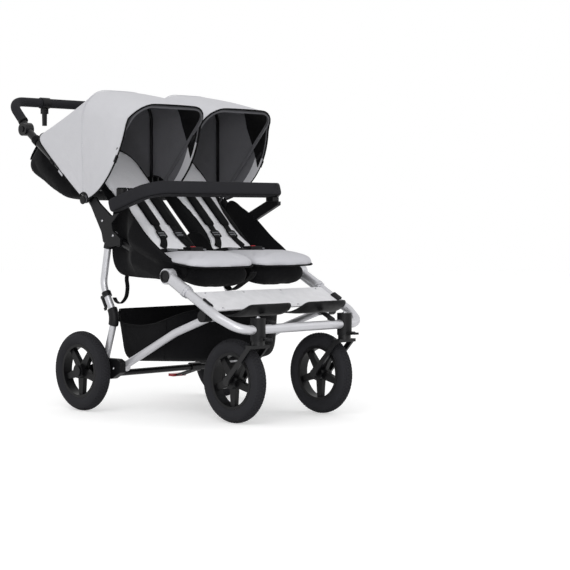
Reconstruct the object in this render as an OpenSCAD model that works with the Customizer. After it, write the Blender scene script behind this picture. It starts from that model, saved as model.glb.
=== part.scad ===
// Twin pram: a side-by-side pushchair for two children, on four air-tyred wheels.
// Lengths are in millimetres. The front faces -Y, the handle is at +Y and +Z is up.
// Left (+X) and right (-X) are those of the person who pushes it.
// Places along the pram are measured from the rear axle: "ahead" is towards the front.

/* [Wheels] */
// Outside diameter of a tyre
wheel_d = 254; // [244:1:260]
// Width of a tyre
tyre_w = 47; // [42:0.5:50]
// Diameter of the rim under the tyre
rim_d = 172; // [160:1:178]
// Width of a rim
rim_w = 34; // [28:1:38]
// Number of spokes in a rim
spoke_count = 5; // [3:1:8]
// Distance between the rear wheels, middle to middle
rear_track = 606; // [602:1:640]
// Distance between the front wheels, middle to middle
front_track = 374; // [350:1:390]
// Distance from the rear axle to the front axle
wheelbase = 586; // [576:1:600]
// Distance from a caster's swivel axis back to its axle
caster_trail = 101; // [98:1:108]
// Diameter of the wheel axles
axle_d = 12; // [10:0.5:14]

/* [Front frame] */
// Distance of the folding hub ahead of the rear axle
hub_ahead = 397; // [390:1:404]
// Height of the folding hub
hub_h = 438; // [434:1:446]
// Height of the front bar
bar_h = 286; // [284:1:292]
// Diameter of the front tubes
front_tube_d = 28; // [24:0.5:28]
// Distance of each front tube from the middle of the pram
front_tube_x = 284; // [284:1:288]
// Radius of the bends between the front tubes and the front bar
front_bend_r = 60; // [52:1:62]
// Diameter of the folding hubs
hub_d = 48; // [42:1:52]
// Length of the sleeve between a hub and its tube
sleeve_len = 104; // [80:1:110]

/* [Rear legs] */
// Diameter of the rear legs
leg_d = 22; // [19:0.5:22]
// Distance of each rear leg from the middle of the pram
leg_x = 262; // [262:0.5:264]
// Distance of the upper leg pivot ahead of the rear axle
leg_pivot_ahead = 100; // [96:1:104]
// Height of the upper leg pivot
leg_pivot_h = 556; // [552:1:560]
// Diameter of the beam between the rear wheels
beam_d = 20; // [16:0.5:22]
// Distance of the beam ahead of the rear axle
beam_ahead = 85; // [80:1:90]
// Height of the beam
beam_h = 120; // [116:1:124]

/* [Basket] */
// Diameter of the tubes that link the front frame to the rear axle
link_d = 24; // [20:0.5:24]
// Width of the basket
basket_w = 448; // [400:1:450]
// Thickness of the basket cloth
basket_wall = 3; // [2:0.5:5]

/* [Seats] */
// Distance from the middle of the pram to the outer edge of a seat
seat_out_x = 241; // [232:1:241]
// Thickness of a seat pad at its crown
pad_t = 40; // [32:1:44]
// Height of the underside of the seat pads
pad_h = 470; // [466:1:474]
// Length of a seat back
seat_back_len = 505; // [470:1:510]
// Angle of the seat backs above level
seat_back_angle = 43.6; // [42:0.2:46]

/* [Back and handle] */
// Diameter of the back tubes
back_tube_d = 26; // [22:0.5:26]
// Distance of the handle's hinge behind the rear axle
hinge_behind = 349; // [340:1:360]
// Height of the handle's hinge
hinge_h = 911; // [900:1:920]
// Distance of the handlebar behind the rear axle
handle_behind = 450; // [440:1:465]
// Height of the handlebar
handle_h = 1010; // [995:1:1030]
// Diameter of the handle tube
handle_d = 21; // [18:0.5:22]
// Diameter of the foam grip
grip_d = 32; // [28:0.5:36]

/* [Canopies] */
// Height of the canopy pivots
canopy_pivot_h = 672; // [668:1:676]
// Reach of the middle bow from its pivot
mid_bow_reach = 347; // [330:1:350]
// Reach of the front bow from its pivot
front_bow_reach = 397; // [380:1:405]
// Lean of the front bow ahead of upright
front_bow_angle = 43; // [38:1:48]
// Thickness of the canopy cloth
canopy_wall = 2.4; // [1.6:0.2:3]

/* [Bumper] */
// Diameter of the padded bumper bar
bumper_d = 45; // [40:0.5:46]
// Distance of the bumper bar ahead of the rear axle
bumper_ahead = 293; // [285:1:300]
// Height of the bumper bar
bumper_h = 706; // [702:1:715]

/* [Hidden] */
$fn = 48;
// Overrun of every cut, running clearance of pins and clearance between pieces
over = 1;
run_gap = 0.05;
gap = 0.3;
bend_swell = 0.1;

// Wheels
wheel_r = wheel_d / 2;
tyre_r = tyre_w / 2;
rim_r = rim_d / 2;
rim_wall = 9;
wheel_hub_d = 46;
wheel_hub_w = 40;
spoke_root_w = 30;
spoke_tip_w = 17;
spoke_t = 16;
hub_cap_d = 34;
hub_cap_t = 5;
axle_r = axle_d / 2;
rear_x = rear_track / 2;
front_x = front_track / 2;

// Front frame, a flat U that slopes from the hubs down to the front bar
hub_y = -hub_ahead;
hub = [hub_y, hub_h];
bar_ahead = wheelbase + caster_trail;
bar_y = -bar_ahead;
front_tube_r = front_tube_d / 2;
front_slope = atan2(hub_h - bar_h, hub_y - bar_y);
front_dir = [0, -cos(front_slope), -sin(front_slope)];
front_len = norm([hub_y - bar_y, hub_h - bar_h]);
hub_r = hub_d / 2;
hub_in_x = front_tube_x - front_tube_r;
hub_out_x = front_tube_x + front_tube_r - over;
hub_pin_r = 8;
sleeve_r = 18;
sleeve_ring_t = 9;
sleeve_bead = 1.5;
hub_lid_rim = 5;
hub_lid_r = hub_r - hub_lid_rim;
hub_lid_t = 4;
hub_lid_dish = 2;
hub_lid_dish_r = 14;

// Foot plate and foot trays
// Where the plate starts and ends, as shares of the front tube's length
turn_share = 0.75;
front_turn_in = 28;
plate_start_share = 0.3543;
plate_end_share = 0.6841;
plate_start = front_len * plate_start_share;
plate_len = front_len * plate_end_share - plate_start;
plate_t = 4;
plate_raise = 8;
tray_in_x = 16;
tray_out_x = 228;
// How far behind the front bar the tray's rear edge, its foot and its lip lie
tray_rear_back = 108;
tray_floor_back = 31;
tray_lip_back = 17;
tray_rear_ahead = bar_ahead - tray_rear_back;
tray_floor_ahead = bar_ahead - tray_floor_back;
tray_lip_ahead = bar_ahead - tray_lip_back;
tray_rise = 35;
tray_stand = 12;
tray_foot_w = 24;
tray_foot_x = 128;
// Outline of a tray, from its lip to its rear edge and from its underside to the top of its lip
tray_shares = [[1, 0], [1, 0.16], [0.205, 0.16], [0.068, 1], [0, 1], [0, 0.77], [0.16, 0]];

// Casters
housing_r = 23;
housing_low_h = 252;
housing_top_h = 320;
// A tray clears both the housings and the front bar
tray_low_h = max(housing_top_h, bar_h + front_tube_r + tray_stand) + over;
tray_lip_h = tray_low_h + tray_rise;
stem_r = 8;
stem_top_h = 271;
collar_r = 20;
yoke_t = 10;
yoke_top_h = 240;
yoke_depth = 28;
fork_t = 8;
fork_side_gap = 5.5;
fork_in_x = tyre_r + fork_side_gap;
fork_out_x = fork_in_x + fork_t;
fork_arm_w = 16;
axle_boss_r = 13;
lever_reach = 57;
lever_w = 22;
lever_t = 6;
lever_pin_r = 2.5;
lever_eye_r = 5;
lever_eye_w = 17;
lever_ear_t = 4;
lever_pin_ahead = 30;
lever_pin_h = 258;

// Link tubes, which run from the front tubes to the rear axle
link_r = link_d / 2;
link_x = 238;
link_in_x = link_x - link_r;
link_out_x = link_x + link_r;
link_bend_ahead = 375;
link_bend_h = 263;
link_bend = [-link_bend_ahead, link_bend_h];
link_bend_r = 90;
link_end_ahead = 130;
link_end_h = 146;
link_end = [-link_end_ahead, link_end_h];
link_eye_r = 17;
link_bore_r = 6;
clamp_wall = 6;
clamp_r = front_tube_r + clamp_wall;
clamp_len = 34;
clamp_lug_w = 26;
// Where the clamp sits, as a share of the front tube, and how far square below the tube the link's pin lies
clamp_share = 0.56483;
link_drop = 34.036;
clamp_from = front_len * clamp_share;
clamp_at = [front_tube_x, hub_y, hub_h] + front_dir * clamp_from;
link_pin = [clamp_at[1] + link_drop * sin(front_slope), clamp_at[2] - link_drop * cos(front_slope)];
link_pin_ahead = -link_pin[0];
link_pin_h = link_pin[1];

// Basket
basket_rear_ahead = 102;
// How far behind the front axle the basket's floor and rim end, which clears the front wheels
basket_front_back = 148;
basket_lip_back = 136;
basket_front_ahead = wheelbase - basket_front_back;
basket_lip_ahead = wheelbase - basket_lip_back;
basket_rim_rear_ahead = 74;
basket_low_rear_h = 160;
basket_low_front_h = 178;
basket_rim_rear_h = 320;
basket_rim_front_h = 345;
basket_dip_ahead = 215;
basket_dip_h = 278;
loop_w = 26;
loop_h = 30;
loop_front_back = 30;
loop_front_ahead = basket_front_ahead - loop_front_back;
loop_rear_ahead = 200;

// Rear legs and axle
leg_r = leg_d / 2;
leg_in_x = leg_x - leg_r;
leg_out_x = leg_x + leg_r;
leg_pivot = [-leg_pivot_ahead, leg_pivot_h];
leg_top_ahead = 82;
leg_top_h = 532;
leg_bend_ahead = 56;
leg_bend_h = 402;
leg_knee_ahead = 114;
leg_knee_h = 303;
leg_foot_ahead = 58;
leg_foot_h = 138;
leg_bend_r = 60;
leg_top = [leg_x, -leg_top_ahead, leg_top_h];
leg_bend = [leg_x, -leg_bend_ahead, leg_bend_h];
leg_knee = [leg_x, -leg_knee_ahead, leg_knee_h];
leg_foot = [leg_x, -leg_foot_ahead, leg_foot_h];
leg_path = [[leg_x, -leg_pivot_ahead, leg_pivot_h], leg_top, leg_bend, leg_knee, leg_foot];
leg_eye_r = 18;
leg_pin_r = 7;
elbow_wall = 3;
elbow_clear_r = 60;
knee_wall = 5;
beam_r = beam_d / 2;
beam = [-beam_ahead, beam_h];
link_end_gap = 0.5;
bracket_in_x = link_out_x + link_end_gap;
bracket_out_x = leg_out_x + over;
bracket_front_ahead = 152;
bracket_rear_behind = 16;
bracket_low_h = 104;
bracket_top_h = 170;
socket_wall = 6;
socket_floor = 6;
socket_len = 26;
// Outline of an axle bracket, from its front to its rear and from its underside to its top
bracket_shares = [
    [0, 0.364], [0.012, 0.879], [0.1, 1], [0.458, 1], [0.786, 0.697], [1, 0.515], [1, 0.152], [0.488, 0],
    [0.25, 0.03]
];

// Fold catch, a hook that hangs on the right rear leg
catch_share = 0.3;
catch_clip_len = 16;
catch_clip_wall = 4;
catch_off = 21;
catch_lug_w = 12;
catch_pin_r = 2.5;
catch_eye_r = 6;
catch_t = 6;
catch_len = 38;
catch_stem_w = 9;
catch_hook = 9;

// Foot pedal
pedal_x = 100;
pedal_w = 40;
pedal_wall = 5;
pedal_wire_r = 4;
pedal_wire_x = 13;
pedal_pad_w = 56;
pedal_pad_l = 26;
pedal_pad_t = 9;
pedal_pad_behind = 2;
pedal_pad_h = 88;

// Seat rails and side joints
rail_r = 11;
rail_x = 258;
rail_in_x = rail_x - rail_r;
rail_eye_r = 20;
rail_end_ahead = 146;
rail_end_h = 538;
rail_end = [-rail_end_ahead, rail_end_h];
rail_end_r = 14;
joint_in_x = 274;
joint_t = 8;
joint_out_x = joint_in_x + joint_t;
joint_ring_wall = 4;
joint_ring_len = 46;
joint_front_ahead = 165;
joint_rear_ahead = 15;
joint_low_h = 524;
joint_top_h = 682;
// Outline of a side joint, with a finger that reaches ahead under the bumper bar
joint_shares = [
    [0, 0.038], [0, 0.165], [0.247, 0.323], [0.287, 0.47], [0.02, 0.68], [0.313, 0.62], [0.7, 0.873],
    [0.833, 1], [1, 0.861], [0.62, 0.291], [0.567, 0.101], [0.367, 0]
];

// Seats
seat_in_x = 17;
seat_mid_x = (seat_in_x + seat_out_x) / 2;
base_front_ahead = 478;
base_rear_ahead = 205;
base_low_h = 412;
pad_front_ahead = 494;
pad_rear_ahead = 246;
pad_in_x = 8;
pad_edge_t = 20;
pad_pull = 5;
pad_steps = 10;
// Outline of the sling under the pads, from the front edge to the rear edge
base_shares = [[0.1, 0], [0, 0.3], [0, 0.8], [0.06, 1], [1, 1], [0.97, 0.6], [0.9, 0.33], [0.48, 0.28]];
panel_gap = 1;
panel_in_x = seat_out_x + panel_gap;
panel_out_x = rail_in_x - gap;
panel_front_ahead = 480;
panel_rear_ahead = 84;
panel_top_h = 676;
// Outline of a side panel, from the front edge to the rear edge
panel_shares = [
    [0.076, 0.064], [0, 0.125], [0, 0.212], [0.202, 0.22], [0.341, 0.379], [0.492, 0.53], [0.626, 0.689],
    [0.798, 0.89], [0.934, 1], [0.99, 0.902], [1, 0.333], [0.914, 0.106], [0.253, 0.061]
];
divider_t = 10;
divider_rear_ahead = 150;
divider_top_h = 570;
// Outline of the divider between the seats, from the front edge to the rear edge
divider_shares = [
    [0.1, 0], [0, 0.2], [0, 0.47], [0.4, 0.62], [0.7, 0.92], [0.85, 1], [1, 0.8], [0.95, 0.45], [0.7, 0.2],
    [0.4, 0.1]
];
recline_ahead = 235;
recline_h = 490;
recline_pivot = [-recline_ahead, recline_h];
recline_rod_r = 4;
recline_eye_r = 8;
board_t = 8;
board_root = (recline_rod_r + recline_eye_r) / 2;
back_board_short = 12;
back_pad_t = 30;
back_pad_start = 44;
back_edge_t = 12;
harness_x = 46;
harness_pad_w = 38;
harness_pad_t = 10;
harness_pad_from = 105;
harness_pad_to = 285;
webbing_w = 25;
webbing_t = 2;
webbing_from = 30;
buckle_ahead = 336;
buckle_w = 50;
buckle_d = 38;
buckle_t = 14;
buckle_lift = 0.5;
buckle_button_r = 8;
buckle_button_t = 6;
buckle_recess = 6;
buckle_rise = 2;
buckle_h = pad_h + pad_t + buckle_lift;

// Back tubes, handle and brake
back_tube_x = 262;
back_tube_r = back_tube_d / 2;
back_low_ahead = 68;
back_low_h = 592;
back_bend_ahead = 5;
back_bend_h = 668;
back_bend_r = 100;
back_low = [-back_low_ahead, back_low_h];
back_bend = [-back_bend_ahead, back_bend_h];
hinge = [hinge_behind, hinge_h];
hinge_r = 22;
hinge_pin_r = 6;
hinge_in_x = 247;
hinge_out_x = 280;
handle = [handle_behind, handle_h];
handle_r = handle_d / 2;
handle_x = 254;
handle_bend_r = 50;
grip_r = grip_d / 2;
grip_start = 40;
button_r = 10;
button_t = 8;
button_recess = 9;
button_rise = 3.5;
cross_bar_r = 9;
cross_bar_behind = 60;
stay_t = 8;
stay_w = 18;
brake_x = 112;
brake_ring_w = 34;
brake_ring_wall = 3;
brake_neck_w = 18;
brake_ear_t = 4;
brake_pin_r = 2.5;
brake_pin_drop = 30;
brake_pin = [handle_behind, handle_h - brake_pin_drop];
brake_eye_r = 7;
brake_len = 48;
brake_root_w = 14;
brake_tip_w = 11;
brake_t = 12;

// Organiser bag between the back tubes
bag_side_gap = 0.5;
bag_front_behind = 90;
bag_rear_behind = 381;
bag_low_h = 680;
bag_top_h = 880;
// Outline of the bag, from its front to its rear and from its bottom to its top
bag_shares = [
    [0, 0.125], [0.007, 0.27], [0.739, 1], [0.842, 0.91],
    [1, 0.655], [0.969, 0.485], [0.258, 0], [0.069, 0.04]
];

// Canopies
canopy_pivot = [0, canopy_pivot_h];
bow_t = 5;
bow_w = 10;
bow_eye_r = 10;
bow_pin_r = 5;
bow_corner_r = 62;
mid_corner_r = 86;
bow_gap = 0.5;
front_bow_in_x = stay_t / 2 + bow_gap;
front_bow_out_x = 294;
mid_bow_in_x = front_bow_in_x + bow_t + bow_gap;
mid_bow_out_x = front_bow_out_x - bow_t - bow_gap - bow_gap;
canopy_in_x = 1.2;
canopy_out_x = front_bow_out_x + bow_gap + canopy_wall;
canopy_start = 82;
canopy_rear_behind = 269;
canopy_rear_h = 897;
canopy_rear = [canopy_rear_behind, canopy_rear_h];
canopy_twist = 40;
arch_corner_steps = 5;
canopy_half_steps = 4;

// Bumper bar
bumper_r = bumper_d / 2;
bumper_end_x = 280;
bumper_end_ahead = 132;
bumper_end_h = 653;
bumper_bend_x = 262;
bumper_far_x = 277;
bumper_bend_r = 60;
bumper_pin_x = 262;
bumper_pin_r = 6;
bumper_pin_rise = 10;
bumper_arm_t = 14;
bumper_seat_t = 14;
bumper_seat_w = 32;
arm_front_ahead = 318;
arm_rear_ahead = 105;
arm_low_h = 585;
// Outline of the bumper's arm, from the end under the bar to the end on the side joint
arm_shares = [
    [1, 0.31], [0.939, 0.057], [0.742, 0], [0, 0.862], [0, 1], [0.263, 1], [0.718, 0.494], [0.906, 0.517]
];
knob_r = 17;
knob_t = 38;
knob_edge = 4;
knob_recess = 4;
knob_ahead = 166;
knob_x = 275;
knob_low_h = 672;

// Places that several pieces share
back_path = [in_plane(back_tube_x, back_low), in_plane(back_tube_x, back_bend), in_plane(back_tube_x, hinge)];
cross_share = (cross_bar_behind + back_bend_ahead) / (hinge_behind + back_bend_ahead);
cross_at = mix(back_bend, hinge, cross_share);
catch_dir = unit(leg_knee - leg_bend);
catch_at = mix(leg_bend, leg_knee, catch_share);
catch_pin = [catch_at[1], catch_at[2]] + [-catch_dir[2], catch_dir[1]] * catch_off;

// The box is centred between the lever tips in front and the grip behind
y_front = bar_y - lever_reach;
y_back = handle_behind + grip_r;
mid_y = (y_front + y_back) / 2;

// Colours
silver = "#dcdcde";
black = "#1c1c1e";
dark = "#2a2a2c";
cloth_black = "#1a1a1c";
cloth_grey = "#c4c4c8";
pale_grey = "#cfcfd2";
tyre_grey = "#39393b";
red = "#c8262e";

// Helpers
function unit(v) = v / norm(v);
function along(p, i) = unit(p[i + 1] - p[i]);
function turn(p, i) = acos(max(-1, min(1, along(p, i - 1) * along(p, i))));
function trim(p, i, bend) = (i == 0 || i == len(p) - 1) ? 0 : bend * tan(turn(p, i) / 2) - over;
function spread(shares, low, high) =
    [for (s = shares) [low[0] + s[0] * (high[0] - low[0]), low[1] + s[1] * (high[1] - low[1])]];
function in_plane(x, p) = [x, p[0], p[1]];
function mix(a, b, t) = a + (b - a) * t;
function strip(p, q, w) =
    let (d = unit(q - p), n = [-d[1], d[0]] * w / 2) [p + n, p - n, q - n, q + n];

module row() {
    translate([0, -mid_y, 0]) children();
}

module sided(side) {
    if (side > 0) children();
    else mirror([1, 0, 0]) children();
}

module both_sides() {
    for (side = [1, -1]) sided(side) children();
}

module rod(p, q, r) {
    d = q - p;
    translate(p)
        rotate([0, acos(d[2] / norm(d)), atan2(d[1], d[0])])
            cylinder(h = norm(d), r = r);
}

// A cylinder along X between two places, at a point of the side view
module cross_pin(x1, x2, p, r) {
    translate([x1, p[0], p[1]]) rotate([0, 90, 0]) cylinder(h = x2 - x1, r = r);
}

// A plate with its outline in the side view and its thickness along X
module side_plate(x1, x2, points) {
    translate([x1, 0, 0]) rotate([90, 0, 90]) linear_extrude(x2 - x1) polygon(points);
}

module elbow(corner, before, after, r, bend) {
    a = acos(before * after);
    start = corner - before * bend * tan(a / 2);
    inward = unit(after - before * (before * after));
    centre = start + inward * bend;
    n = unit(cross(before, after));
    multmatrix([
        [-inward[0], before[0], n[0], centre[0]],
        [-inward[1], before[1], n[1], centre[1]],
        [-inward[2], before[2], n[2], centre[2]],
        [0, 0, 0, 1]
    ]) rotate_extrude(angle = a) translate([bend, 0]) circle(r = r);
}

// A round tube through a list of points. Its straights run a little way into its bends,
// which are a hair thicker
module bent_tube(p, r, bend) {
    for (i = [0 : len(p) - 2])
        rod(p[i] + along(p, i) * trim(p, i, bend), p[i + 1] - along(p, i) * trim(p, i + 1, bend), r);
    for (i = [1 : len(p) - 2]) elbow(p[i], along(p, i - 1), along(p, i), r + bend_swell, bend);
}

// Faces of a closed sheet: two layers of rows by cols points, joined along their edges
function sheet_faces(rows, cols) =
    let (o = rows * cols, last_r = rows - 1, last_c = cols - 1)
    concat(
        [for (i = [0 : last_r - 1], j = [0 : last_c - 1]) each let (a = i * cols + j, b = a + cols) [
            [a, b, b + 1], [a, b + 1, a + 1], [o + a, o + b + 1, o + b], [o + a, o + a + 1, o + b + 1]]],
        [for (i = [0 : last_r - 1]) each let (a = i * cols, b = a + cols, c = a + last_c, d = b + last_c) [
            [b, a, o + a], [b, o + a, o + b], [c, d, o + d], [c, o + d, o + c]]],
        [for (j = [0 : last_c - 1]) each let (a = j, b = last_r * cols + j) [
            [a, a + 1, o + a + 1], [a, o + a + 1, o + a], [b + 1, b, o + b], [b + 1, o + b, o + b + 1]]]);

// A pad that lies flat, with a crown, round edges and sides that draw in between its corners
module crowned_pad(w, l, t, edge_t, pull, steps) {
    function x_at(u, v) = u * (w / 2 - pull * (1 - v * v));
    function y_at(u, v) = v * (l / 2 - pull * (1 - u * u));
    function z_at(u, v) = edge_t + (t - edge_t) * (1 - pow(u, 4)) * (1 - pow(v, 4));
    grid = [for (i = [0 : steps], j = [0 : steps]) [2 * j / steps - 1, 2 * i / steps - 1]];
    points = concat(
        [for (g = grid) [x_at(g[0], g[1]), y_at(g[0], g[1]), z_at(g[0], g[1])]],
        [for (g = grid) [x_at(g[0], g[1]), y_at(g[0], g[1]), 0]]);
    polyhedron(points = points, faces = sheet_faces(steps + 1, steps + 1));
}

// Main frame
module seat_rails() {
    color(black) row() both_sides() {
        rod(in_plane(rail_x, hub), in_plane(rail_x, rail_end), rail_r);
        cross_pin(rail_in_x, hub_in_x - gap, hub, rail_eye_r);
        cross_pin(rail_in_x, joint_in_x, rail_end, rail_end_r);
        cross_pin(rail_in_x, hub_out_x - hub_lid_t, hub, hub_pin_r);
    }
}

module side_joints() {
    low = [-joint_front_ahead, joint_low_h];
    high = [-joint_rear_ahead, joint_top_h];
    tube_end = in_plane(back_tube_x, back_low);
    tube_dir = unit(in_plane(back_tube_x, back_bend) - tube_end);
    color(dark) row() both_sides() {
        difference() {
            union() {
                side_plate(joint_in_x, joint_out_x, spread(joint_shares, low, high));
                rod(tube_end, tube_end + tube_dir * joint_ring_len, back_tube_r + joint_ring_wall);
            }
            rod(tube_end - tube_dir * over, tube_end, back_tube_r + run_gap);
            bent_tube(back_path, back_tube_r + run_gap, back_bend_r);
        }
        cross_pin(leg_in_x, joint_in_x + over, leg_pivot, leg_pin_r);
    }
}

module back_tubes() {
    color(black) row() both_sides() difference() {
        union() {
            difference() {
                union() {
                    bent_tube(back_path, back_tube_r, back_bend_r);
                    cross_pin(back_tube_x, hinge_out_x, hinge, hinge_r);
                }
                cross_pin(back_tube_x - back_tube_r - over, back_tube_x + gap, hinge, hinge_r + gap);
            }
            cross_pin(hinge_in_x + over, back_tube_x + over, hinge, hinge_pin_r);
            cross_pin(back_tube_x, front_bow_out_x, canopy_pivot, bow_pin_r);
        }
        cross_pin(hinge_out_x - button_recess, hinge_out_x + over, hinge, button_r + run_gap);
    }
}

module cross_bar() {
    ends = back_tube_x - back_tube_r;
    color(black) row() {
        cross_pin(-ends, ends, cross_at, cross_bar_r);
        side_plate(-stay_t / 2, stay_t / 2, strip(canopy_pivot, cross_at, stay_w));
        cross_pin(-stay_t / 2, stay_t / 2, canopy_pivot, bow_eye_r);
        cross_pin(-mid_bow_in_x - bow_t, mid_bow_in_x + bow_t, canopy_pivot, bow_pin_r);
    }
}

// Seats
module seat_sling() {
    low = [-base_front_ahead, base_low_h];
    color(cloth_black) row() {
        side_plate(-seat_out_x, seat_out_x, spread(base_shares, low, [-base_rear_ahead, pad_h - gap]));
        difference() {
            side_plate(-divider_t / 2, divider_t / 2,
                spread(divider_shares, low, [-divider_rear_ahead, divider_top_h]));
            cross_pin(-divider_t, divider_t, recline_pivot, recline_rod_r + gap);
        }
    }
}

module seat_pad(side) {
    w = seat_out_x - pad_in_x;
    l = pad_front_ahead - pad_rear_ahead;
    color(cloth_grey) row() sided(side)
        translate([pad_in_x + w / 2, -(pad_front_ahead + pad_rear_ahead) / 2, pad_h])
            crowned_pad(w, l, pad_t, pad_edge_t, pad_pull, pad_steps);
}

module seat_sides() {
    low = [-panel_front_ahead, base_low_h];
    high = [-panel_rear_ahead, panel_top_h];
    color(cloth_black) row() both_sides()
        side_plate(panel_in_x, panel_out_x, spread(panel_shares, low, high));
}

module recline_rod() {
    ends = panel_in_x - gap;
    color(silver) row() cross_pin(-ends, ends, recline_pivot, recline_rod_r);
}

// Places a shape that lies flat, with its length along Y, on the front of a seat back
module on_seat_back(from, lift) {
    translate([0, recline_pivot[0], recline_pivot[1]])
        rotate([seat_back_angle, 0, 0])
            translate([0, from, lift]) children();
}

module seat_back(side) {
    w = seat_out_x - seat_in_x;
    pad_l = seat_back_len - back_pad_start;
    color(cloth_grey) row() sided(side) {
        on_seat_back(back_pad_start + pad_l / 2, board_t / 2 + gap) translate([seat_mid_x, 0, 0])
            crowned_pad(w, pad_l, back_pad_t, back_edge_t, pad_pull, pad_steps);
        difference() {
            union() {
                on_seat_back(board_root, -board_t / 2) translate([seat_in_x + over, 0, 0])
                    cube([w - 2 * over, seat_back_len - back_board_short - board_root, board_t]);
                cross_pin(seat_in_x, seat_out_x, recline_pivot, recline_eye_r);
            }
            cross_pin(seat_in_x - over, seat_out_x + over, recline_pivot, recline_rod_r + run_gap);
        }
    }
}

module harness(side) {
    lift = board_t / 2 + back_pad_t + 2 * gap;
    color(cloth_black) row() sided(side) for (x = [-harness_x, harness_x]) {
        on_seat_back(harness_pad_from, lift) translate([seat_mid_x + x - harness_pad_w / 2, 0, 0])
            cube([harness_pad_w, harness_pad_to - harness_pad_from, harness_pad_t]);
        on_seat_back(webbing_from, lift) translate([seat_mid_x + x - webbing_w / 2, 0, 0])
            cube([webbing_w, harness_pad_from - webbing_from, webbing_t]);
    }
}

module buckles() {
    color(dark) row() both_sides() translate([seat_mid_x, -buckle_ahead, buckle_h]) difference() {
        translate([-buckle_w / 2, -buckle_d / 2, 0]) cube([buckle_w, buckle_d, buckle_t]);
        translate([0, 0, buckle_t - buckle_recess])
            cylinder(h = buckle_recess + over, r = buckle_button_r + run_gap);
    }
}

module buckle_button(side) {
    color(red) row() sided(side)
        translate([seat_mid_x, -buckle_ahead, buckle_h + buckle_t + buckle_rise - buckle_button_t])
            cylinder(h = buckle_button_t, r = buckle_button_r);
}

module organiser_bag() {
    out = back_tube_x - back_tube_r - bag_side_gap;
    low = [bag_front_behind, bag_low_h];
    high = [bag_rear_behind, bag_top_h];
    color(cloth_black) row() side_plate(-out, out, spread(bag_shares, low, high));
}

// Canopies
function bow_top(reach, lean) = [-reach * sin(lean), reach * cos(lean)];

function arch(x_in, x_out, reach, corner) =
    let (n = arch_corner_steps, waist = (canopy_start + reach - corner) / 2)
    concat(
        [[x_out, canopy_start], [x_out, waist]],
        [for (i = [0 : n]) let (a = 90 * i / n)
            [x_out - corner * (1 - cos(a)), reach - corner * (1 - sin(a))]],
        [for (i = [0 : n]) let (a = 90 + 90 * i / n)
            [x_in + corner * (1 + cos(a)), reach - corner * (1 - sin(a))]],
        [[x_in, waist], [x_in, canopy_start]]);

// One row of the cloth: an arch that leans ahead, and whose feet lean a little further
function canopy_row(top, inset, twist, corner) =
    let (reach = norm(top), lean = atan2(-top[0], top[1]))
    [for (p = arch(canopy_in_x + inset, canopy_out_x - inset, reach - inset, corner - inset))
        let (a = lean + twist * max(0, 1 - p[1] / (reach - corner)))
        [p[0], canopy_pivot[0] - p[1] * sin(a), canopy_pivot[1] + p[1] * cos(a)]];

module canopy_cloth(side) {
    proud = bow_gap + canopy_wall;
    front_r = front_bow_reach + proud;
    mid_r = mid_bow_reach + proud;
    // The cloth lies flat over the width of each bow and is taut between them
    front_half = atan2(bow_w / 2 + over, front_r);
    mid_half = atan2(bow_w / 2 + over, mid_r);
    rear = canopy_rear - canopy_pivot;
    mid_back = bow_top(mid_r, -mid_half);
    mid_front = bow_top(mid_r, mid_half);
    front_back = bow_top(front_r, front_bow_angle - front_half);
    front_edge = bow_top(front_r, front_bow_angle + front_half);
    n = canopy_half_steps;
    tops = concat(
        [for (i = [0 : n]) mix(rear, mid_back, i / n)],
        [for (i = [0 : n]) mix(mid_front, front_back, i / n)],
        [front_edge]);
    rows = len(tops);
    twists = [for (i = [0 : rows - 1]) i <= n ? 0 : canopy_twist * (i - n) / (n + 2)];
    corners = concat(
        [for (i = [0 : n]) mix(bow_corner_r, mid_corner_r, i / n)],
        [for (i = [0 : n]) mix(mid_corner_r, bow_corner_r, i / n)],
        [bow_corner_r]);
    layers = [for (inset = [0, canopy_wall], i = [0 : rows - 1])
        canopy_row(tops[i], inset, twists[i], corners[i])];
    color(cloth_grey) row() sided(side)
        polyhedron(points = [for (l = layers) each l], faces = sheet_faces(rows, len(layers[0])));
}

// A flat bow: two legs and a straight top with round corners, made upright over its pivot
module bow(x_in, x_out, reach, lean, corner) {
    w = x_out - x_in;
    inner_r = corner - bow_t;
    translate([0, canopy_pivot[0], canopy_pivot[1]]) rotate([lean, 0, 0]) {
        translate([0, bow_w / 2, 0]) rotate([90, 0, 0]) linear_extrude(bow_w) difference() {
            union() {
                translate([x_in, 0]) square([w, reach - corner]);
                translate([x_in + corner, 0]) square([w - 2 * corner, reach]);
                for (x = [x_in + corner, x_out - corner])
                    translate([x, reach - corner]) circle(r = corner);
            }
            translate([x_in + bow_t, -over]) square([w - 2 * bow_t, reach - corner + over]);
            translate([x_in + corner, -over]) square([w - 2 * corner, reach - bow_t + over]);
            for (x = [x_in + corner, x_out - corner])
                translate([x, reach - corner]) circle(r = inner_r);
        }
        for (x = [x_in, x_out - bow_t]) cross_pin(x, x + bow_t, [0, 0], bow_eye_r);
    }
}

module drilled_bow(x_in, x_out, reach, lean, corner) {
    difference() {
        bow(x_in, x_out, reach, lean, corner);
        cross_pin(x_in - over, x_out + over, canopy_pivot, bow_pin_r + run_gap);
    }
}

module front_bow(side) {
    color(black) row() sided(side)
        drilled_bow(front_bow_in_x, front_bow_out_x, front_bow_reach, front_bow_angle, bow_corner_r);
}

module mid_bow(side) {
    color(black) row() sided(side)
        drilled_bow(mid_bow_in_x, mid_bow_out_x, mid_bow_reach, 0, mid_corner_r);
}

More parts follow.
